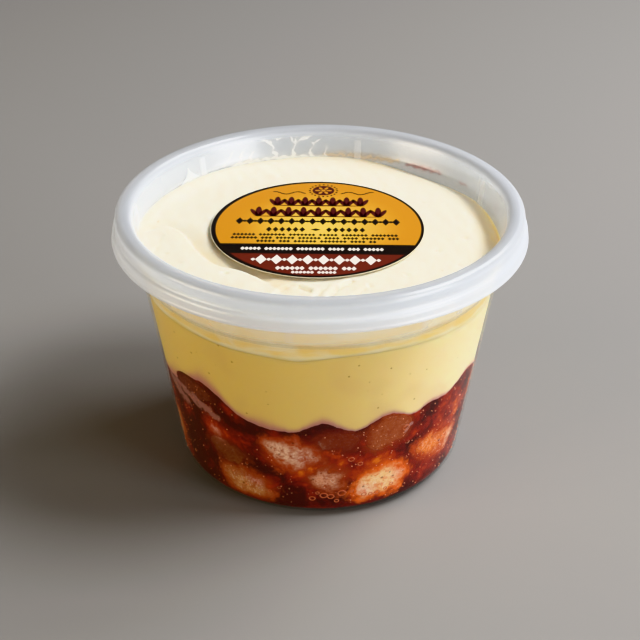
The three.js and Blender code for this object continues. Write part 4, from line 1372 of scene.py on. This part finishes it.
    def petals(self):
        """White marks: a fine band in the black field, a bold row of diamonds and two short bands."""
        random = np.random.default_rng(9)
        marks = []
        for y, left, right, width, tall in (
            (-13.9, -20.5, 18.6, 1.2, 1.9), (-25.2, -10.2, 11, 1.4, 2.2), (-27.5, -6.0, 6.2, 1.1, 1.6),
        ):
            marks += self.band(y, left, right, width, tall, random)
        for i, x in enumerate(np.arange(-17.2, 17.3, 2.15)):
            marks.append((x, -20.3, *((3.1, 5.4) if i % 2 else (1.3, 1.7)), 0))
        return marks

    def flower(self):
        """A small gold flower on the fruit."""
        marks = [(1.2, 24.0, 1.3, 1.3, 0)]
        for angle in range(0, 360, 60):
            x, y = 1.7 * math.cos(math.radians(angle)), 1.7 * math.sin(math.radians(angle))
            marks.append((1.2 + x, 24.0 + y, 1.7, 0.9, angle))
        return marks


class PUDDING_OT_cream(bpy.types.Operator):
    """Spread the whipped cream, with its fold, falls, creases and pits"""

    bl_idname = "pudding.cream"
    bl_label = "Cream"

    def execute(self, context):
        food = context.scene.pudding_food
        azimuth = all_round(food.segments)
        inset = WALL - REACH_IN["cream"]
        shares = np.array([*np.linspace(0.02, 0.98, 12), 0.999])[:, None]
        under = custard_top(shares, azimuth) - SINK_IN
        bottom = polar(azimuth, shares * wall_radius(CUSTARD_TOP, inset), under)
        low = custard_top(1, azimuth) - SINK_IN
        edge = wall_radius(CREAM_TOP, inset)
        rows = np.concatenate([[0, 0.004], np.linspace(0.03, 1, 33)])[:, None]
        rim = cream_top(edge, azimuth, edge)
        heights = low + (rim - low) * rows
        wall = polar(azimuth, wall_radius(heights, inset), heights)
        edge_row = wall_radius(rim, inset)
        shares = np.linspace(0.996, 0.02, 108)[:, None]
        radius = shares * edge_row
        top = polar(azimuth, radius, cream_top(radius, azimuth, edge))
        finish = whipped_cream_finish("whipped cream", food.cream)
        cream = lofted("cream_layer", np.concatenate([bottom, wall, top]), finish)
        # yellow at the wall, and painted shade on the top
        paint(cream, "custard_and_painted_shade", self.custard_and_painted_shade(*places(cream)))
        deliver(cream, "whipped_cream", "cream")
        return {"FINISHED"}

    def custard_and_painted_shade(self, azimuth, height, radius):
        """How yellow the cream is at its points: at the wall, and as painted shade on its top."""
        # at the wall: more towards the custard, streaks, and a pale line just over the custard
        custard_and_painted_shade = 0.5 * (1 - smoothstep(height, 66, 71)) + 0.36 * (1 - smoothstep(height, 59.6, 62.6))
        for *patch, strength in CUSTARD_STREAKS:
            custard_and_painted_shade += strength * wall_patch(azimuth, height, *patch)
        custard_and_painted_shade -= 0.22 * bell(height - custard_top(1, azimuth) - 0.9, 0.5)
        inner_wall = wall_radius(height, WALL)
        custard_and_painted_shade = np.clip(custard_and_painted_shade, 0, 1.2) * smoothstep(radius, inner_wall - 1.2, inner_wall - 0.2)
        # on top, painted shade: in the falls at the right, along the edge, and in the fold's trough
        on_top = height > 60
        fallen = 0.75 * bell(turn(azimuth, 92), 24) + 0.25 * bell(turn(azimuth, 150), 30)
        custard_and_painted_shade += smoothstep(radius, 43, 51) * on_top * fallen
        custard_and_painted_shade += 0.12 * smoothstep(radius, 49, 52) * on_top
        distance, along = beside_path(FOLD_LINE, *flat_place(radius, azimuth))
        trough = smoothstep(-distance, 0, 2) * (1 - smoothstep(-distance, 3, 11)) * on_top
        return custard_and_painted_shade + 0.3 * trough * smoothstep(along, 0.25, 0.6)


class PUDDING_OT_custard(bpy.types.Operator):
    """Pour the custard over the waves of the compote"""

    bl_idname = "pudding.custard"
    bl_label = "Custard"

    def execute(self, context):
        food = context.scene.pudding_food
        azimuth = all_round(food.segments)
        inset = WALL - REACH_IN["custard"]
        shares = np.linspace(0.03, 0.97, 16)[:, None]
        under = compote_top(shares, azimuth) - SINK_IN
        bottom = polar(azimuth, shares * wall_radius(under, inset), under)
        low, high = compote_top(1, azimuth) - SINK_IN, custard_top(1, azimuth)
        rows = np.concatenate([np.linspace(0, 0.25, 28), np.linspace(0.27, 0.998, 46), [1]])[:, None]
        heights = low + (high - low) * rows
        wall = polar(azimuth, wall_radius(heights, inset), heights)
        shares = np.array([0.999, *np.linspace(0.97, 0.03, 12)])[:, None]
        over = custard_top(shares, azimuth)
        top = polar(azimuth, shares * wall_radius(over, inset), over)
        finish = set_custard_finish("set custard", food.custard)
        custard = lofted("custard_layer", np.concatenate([bottom, wall, top]), finish)
        azimuths, height, _ = places(custard)
        above = height - compote_top(1, azimuths)
        leftness = 1 - smoothstep(turn(azimuths, 0), -30, 30)
        width = 0.9 + 1.3 * leftness + 0.8 * bell(turn(azimuths, -48), 12)
        wander = 1 + 0.35 * np.sin(np.radians(azimuths) * 17 + 1)
        paint(custard, "fringe", bell(np.maximum(above, 0), width * wander))
        # painted light: paler on the right, round azimuth 62, where the light falls
        paint(custard, "painted_light", 0.9 * bell(turn(azimuths, 62), 34))
        deliver(custard, "custard", "custard")
        return {"FINISHED"}


def soak(piece):
    """Paints what the soaked finish reads: the distance to the lumps, and their colours."""
    azimuth, height, _ = places(piece)
    distances = np.array([beside_lump(name, azimuth, height) for name in LUMPS])
    weights = np.exp(-np.clip(distances, 0, 20) / 1.2) + 1e-9
    weights /= weights.sum(0)
    hearts = np.array([srgb(lump[5]) for lump in LUMPS.values()])
    rims = np.array([srgb(lump[6]) for lump in LUMPS.values()])
    heart = weights.T @ hearts
    for *patch, code in HEART_PATCHES:
        share = wall_patch(azimuth, height, *patch)[:, None]
        heart = heart * (1 - share) + np.array(srgb(code)) * share
    paint(piece, "edge", distances.min(0))
    paint(piece, "heart", heart)
    paint(piece, "rim", weights.T @ rims)
    # the glows, partly painted light on the right where the light falls
    glow = np.zeros(len(azimuth))
    for *patch, strength in GLOWS:
        glow += strength * wall_patch(azimuth, height, *patch)
    below = compote_top(1, azimuth) - height
    glow -= 0.3 * bell(below, 1.4) * (1 - smoothstep(turn(azimuth, 0), 15, 35))
    paint(piece, "glow", glow)
    paint(piece, "film", beside_strips(FILMS, azimuth, height))


class PUDDING_OT_compote(bpy.types.Operator):
    """Fill in the compote, with a pocket behind each lump"""

    bl_idname = "pudding.compote"
    bl_label = "Compote"

    def execute(self, context):
        food = context.scene.pudding_food
        azimuth = all_round(food.segments)
        inset = WALL - REACH_IN["compote"]
        reach = HEEL_RADIUS - inset
        recess = RECESS_DEPTH + inset
        floor = [(3, recess), (RECESS_RADIUS, recess), (RECESS_EDGE + WALL, inset)]
        heel = arc(HEEL_MIDDLE, HEEL_RADIUS, reach, -90, -math.degrees(LEAN), 12)
        bottom = np.stack([polar(azimuth[0], radius, height) for radius, height in [*floor, *heel]])
        low = heel[-1][1]
        high = compote_top(1, azimuth)
        rows = np.linspace(0, 1, 92)[1:, None]
        heights = low + (high - low) * rows
        depth = sum(
            POCKET_DEPTH * smoothstep(-beside_lump(name, azimuth, heights), 0.3, 1.8) for name in LUMPS
        )
        wall = polar(azimuth, wall_radius(heights, inset) - np.minimum(depth, POCKET_DEPTH), heights)
        shares = np.linspace(0.98, 0.03, 20)[:, None]
        over = compote_top(shares, azimuth)
        top = polar(azimuth, shares * wall_radius(over, inset), over)
        finish = soaked_finish("apricot jelly", 1.0, 2.4, 0.3)
        compote = lofted("compote_layer", np.concatenate([bottom, wall, top]), finish)
        soak(compote)
        deliver(compote, "compote", "compote")
        return {"FINISHED"}


class PUDDING_OT_lumps(bpy.types.Operator):
    """Press the lumps of soaked sponge and of apricot to the wall"""

    bl_idname = "pudding.lumps"
    bl_label = "Sponge and apricot"

    def execute(self, context):
        finishes = {
            "sponge": soaked_finish("soaked sponge", 1.0, 2.4, 0.4),
            "apricot": soaked_finish("stewed apricot", 0.5, 3.2, 0.3, 0.22),
        }
        for name in LUMPS:
            kind = kind_of(name)
            piece = lofted(name + "_lump", self.rings(name), finishes[kind])
            soak(piece)
            deliver(piece, kind, name)
        return {"FINISHED"}

    def rings(self, name):
        """From the back of the lump over its sides to its face, which lies against the wall."""
        centre, middle, _, _, tilt, *_ = LUMPS[name]
        angle = np.linspace(0, 2 * math.pi, 96, endpoint=False)[None, :]
        back = np.radians(np.linspace(86, 0, 16))
        share = np.concatenate([np.cos(back), np.linspace(0.97, 0.03, 30)])[:, None]
        depth = np.concatenate([PIECE_DEPTH * np.sin(back), np.zeros(30)])[:, None]
        rim = lump_reach(name, angle)
        across, rise = share * rim * np.cos(angle), share * rim * np.sin(angle)
        cos, sin = math.cos(math.radians(tilt)), math.sin(math.radians(tilt))
        along, up = across * cos - rise * sin, across * sin + rise * cos
        azimuth = centre + np.degrees(along / wall_radius(middle, WALL))
        height = np.clip(middle + up, WALL + 0.5, None)
        return polar(azimuth, wall_radius(height, WALL - REACH_IN["piece"]) - depth, height)


class PUDDING_OT_bubbles(bpy.types.Operator):
    """Trap small bubbles and seeds between the compote and the wall; the pale specks are partly
    painted highlights
    """

    bl_idname = "pudding.bubbles"
    bl_label = "Bubbles"

    def execute(self, context):
        azimuth = all_round(240)
        inset = WALL - REACH_IN["piece"]
        rows = np.linspace(0, 1, 60)[:, None]
        heights = 4 + (compote_top(1, azimuth) - 5) * rows
        start = self.patch(azimuth, heights, inset)
        tree = bubbles_tree()
        specks = bubble_finish("syrup specks and painted highlights", srgb("#e08860"), srgb("#ffc8ac"))
        rings = bubble_finish("syrup bubbles", srgb("#7a2408"), srgb("#eda888"))
        light = bubble_finish("light in the bubbles", srgb("#c0603c"), srgb("#e89c7c"))
        deliver(self.rings(light), "compote")
        for name, density, low, high, flat, fine, seed, finish in (
            ("compote_specks_and_highlights", 0.085e6, 0.09, 0.24, 0.8, 1, 3, specks),
            ("compote_bubbles", 0.003e6, 0.3, 0.6, 0.35, 3, 8, rings),
        ):
            values = {
                "Density": density, "Smallest": low * MM, "Largest": high * MM, "Flatness": flat,
                "Fineness": fine, "Seed": seed, "Material": finish,
            }
            deliver(grown(name, start.copy(), tree, values), "compote", "compote")
        return {"FINISHED"}

    def rings(self, material):
        """The larger bubbles, each a round wire of light that lies against the wall."""
        around = np.radians(np.arange(0, 360, 15))[:, None]
        wire = np.radians(np.arange(0, 360, 60))[None, :]
        ids = np.arange(around.size * wire.size).reshape(around.size, wire.size)
        right, above = np.roll(ids, -1, axis=0), np.roll(ids, -1, axis=1)
        both = np.roll(right, -1, axis=1)
        quads = np.stack([ids, right, both, above], -1).reshape(-1, 4)
        points, faces = [], []
        for centre, middle, size in RINGS:
            thick = 0.1 + 0.08 * size
            reach = size + thick * np.cos(wire)
            across, up = reach * np.cos(around), 0.85 * reach * np.sin(around)
            height = middle + up
            azimuth = centre + np.degrees(across / wall_radius(middle, WALL))
            depth = wall_radius(height, WALL - REACH_IN["piece"]) + thick * (np.sin(wire) - 0.3)
            faces += (quads + len(points) * ids.size).tolist()
            points.append(polar(azimuth, depth, height).reshape(-1, 3))
        piece = new_piece("compote_rings", np.vstack(points), faces, material)
        face_outwards(piece.data)
        return piece

    def patch(self, azimuth, heights, inset):
        """A band of the compote's face, with how crowded the bubbles are on it."""
        rings = polar(azimuth, wall_radius(heights, inset), heights)
        ids, _, faces = side_faces(rings)
        mesh = bpy.data.meshes.new("bubble_patch")
        mesh.from_pydata(rings.reshape(-1, 3) * MM, [], faces.tolist())
        crowd = 0.3 + 0.6 * smoothstep(heights, 14, 5) + 0.5 * (np.sin(np.radians(azimuth) * 5) > 0.2)
        # painted highlights: more specks and bubbles round azimuth 52, on the right where the light falls
        crowd = crowd + 0.9 * bell(turn(azimuth, 52), 30) + 0.6 * bell(turn(azimuth, -30), 16)
        crowd = np.broadcast_to(crowd, ids.shape).ravel().astype(np.float32)
        mesh.attributes.new("crowd", "FLOAT", "POINT").data.foreach_set("value", crowd)
        return mesh


def wall_skin(name, ends, thickness, material):
    """A thin closed skin on the collar's inner wall, between two azimuths."""
    columns = int(abs(ends[1] - ends[0]) * 4)
    azimuth = np.linspace(*ends, columns)[:, None]
    up = np.linspace(*SKIN_BAND, SKIN_ROWS)
    height = np.concatenate([up, up[::-1]])[None, :]
    inside = np.repeat([thickness, -SKIN_REACH_IN], SKIN_ROWS)[None, :]
    return lofted(name, polar(azimuth, wall_radius(height, WALL) - inside, height), material)


class PUDDING_OT_smears(bpy.types.Operator):
    """Leave thin films of cream, custard and jam on the inside of the collar"""

    bl_idname = "pudding.smears"
    bl_label = "Smears"

    def execute(self, context):
        for name, strips, ends, thickness, slot, finish in (
            ("cream_smears", CREAM_SMEARS, (-186, -122), 0.2, "whipped_cream",
             smear_finish("smeared cream", srgb("#fbf8ee"), 0.6)),
            ("custard_smears", CUSTARD_SMEARS, (-212, -150), 0.14, "custard",
             smear_finish("smeared custard", srgb("#dcc08a"), 0.5)),
            ("jam_smears", JAM_SMEARS, (98, 152), 0.14, "compote",
             smear_finish("smeared jam", srgb("#b04a3c"), 0.5)),
        ):
            skin = wall_skin(name, ends, thickness, finish)
            face_outwards(skin.data)
            azimuth, height, _ = places(skin)
            azimuth = np.where(azimuth > ends[1] + 1, azimuth - 360, azimuth)
            sway = 0.35 * np.sin(2.1 * height + 0.9 * azimuth) + 0.2 * np.sin(4.7 * height - 2.3 * azimuth)
            rise = height + 0.25 * np.sin(1.9 * azimuth + 1.1 * height)
            paint(skin, "cover", beside_strips(strips, azimuth + sway, rise))
            deliver(skin, slot)
        rise = np.linspace(0, 1, 24)[:, None]
        azimuth, height = PEAK_AZIMUTH + 0.8 * rise, PEAK_FOOT + PEAK_TALL * rise
        half = 0.15 + PEAK_WIDTH / 2 * (1 - rise) ** 1.9
        angle = np.radians(np.arange(0, 360, 15))[None, :]
        middle = wall_radius(height, WALL) - 0.16
        around = azimuth + np.degrees(half * np.cos(angle) / middle)
        rings = polar(around, middle + 0.2 * np.sin(angle), height)
        finish = whipped_cream_finish("cream peak", context.scene.pudding_food.cream)
        peak = lofted("cream_peak", rings, finish)
        face_outwards(peak.data)
        deliver(peak, "whipped_cream")
        return {"FINISHED"}


# ---------- the stage ----------


def aimed_light(name, power, colour, size, azimuth, elevation, distance):
    """A square lamp at an azimuth, elevation and distance in metres, turned to the tub."""
    data = bpy.data.lights.new(name, "AREA")
    data.energy = power
    data.color = colour[:3]
    data.size = size
    lamp = bpy.data.objects.new(name, data)
    level = distance * math.cos(math.radians(elevation))
    x, y, _ = polar(azimuth, level, 0)
    lamp.location = Vector((x, y, distance * math.sin(math.radians(elevation))))
    lamp.rotation_euler = (Vector(LIGHT_TARGET) - lamp.location).to_track_quat("-Z", "Y").to_euler()
    bpy.context.scene.collection.objects.link(lamp)
    return lamp


class PUDDING_OT_stage(bpy.types.Operator):
    """Set the stage: plain floor, soft studio light and the camera"""

    bl_idname = "pudding.stage"
    bl_label = "Stage"

    def execute(self, context):
        stage = context.scene.pudding_stage
        corners = [(x * FLOOR_HALF, y * FLOOR_HALF, 0) for x, y in ((-1, -1), (1, -1), (1, 1), (-1, 1))]
        floor = new_piece("floor", corners, [(0, 1, 2, 3)], matte_floor("matte floor", stage.floor))

        warm, plain = srgb("#fff0da"), srgb("#fdfdff")
        for name, power, colour, size, azimuth, elevation, distance in (
            ("key", stage.key, plain, 0.45, 86, 52, 1.2),
            ("key_behind", stage.key * 0.6, plain, 0.45, 122, 44, 1.2),
            ("fill_right", stage.fill, plain, 0.6, 56, 10, 1.3),
            ("fill_left", stage.fill, warm, 0.8, -66, 8, 1.3),
        ):
            aimed_light(name, power, colour, size, azimuth, elevation, distance)
        world = bpy.data.worlds.new("room")
        world.use_nodes = True
        sky = world.node_tree.nodes["Background"].inputs
        sky["Color"].default_value = srgb("#f7efe6")
        sky["Strength"].default_value = stage.sky
        context.scene.world = world

        data = bpy.data.cameras.new("camera")
        data.lens, data.sensor_width = CAMERA_LENS, CAMERA_SENSOR
        camera = bpy.data.objects.new("camera", data)
        camera.location = Vector(CAMERA_PLACE) * MM
        aim = Vector(CAMERA_TARGET) * MM - camera.location
        camera.rotation_euler = aim.to_track_quat("-Z", "Y").to_euler()
        context.scene.collection.objects.link(camera)
        context.scene.camera = camera
        context.scene.view_settings.view_transform = "Khronos PBR Neutral"
        context.scene.cycles.transparent_max_bounces = 32
        return {"FINISHED"}


class PUDDING_PT_panel(bpy.types.Panel):
    """Lists the steps that build the pudding"""

    bl_idname = "PUDDING_PT_panel"
    bl_label = "Apricot pudding"
    bl_space_type = "VIEW_3D"
    bl_region_type = "UI"
    bl_category = "Pudding"

    def draw(self, context):
        for step in STEPS:
            self.layout.operator(step.bl_idname)
        for name in SETTINGS:
            settings = getattr(context.scene, name)
            box = self.layout.box()
            for key in settings.__annotations__:
                box.prop(settings, key)


STEPS = (
    PUDDING_OT_tub, PUDDING_OT_lid, PUDDING_OT_label, PUDDING_OT_cream, PUDDING_OT_custard,
    PUDDING_OT_compote, PUDDING_OT_lumps, PUDDING_OT_bubbles, PUDDING_OT_smears, PUDDING_OT_stage,
)
SETTINGS = {
    "pudding_tub": TubSettings, "pudding_label": LabelSettings,
    "pudding_food": FoodSettings, "pudding_stage": StageSettings,
}


def register():
    for group in (*SETTINGS.values(), *STEPS, PUDDING_PT_panel):
        bpy.utils.register_class(group)
    for name, group in SETTINGS.items():
        setattr(bpy.types.Scene, name, PointerProperty(type=group))


def unregister():
    for name in SETTINGS:
        delattr(bpy.types.Scene, name)
    for group in (PUDDING_PT_panel, *reversed(STEPS), *SETTINGS.values()):
        bpy.utils.unregister_class(group)


def main():
    register()
    for step in STEPS:
        area, name = step.bl_idname.split(".")
        getattr(getattr(bpy.ops, area), name)()


if __name__ == "__main__":
    main()
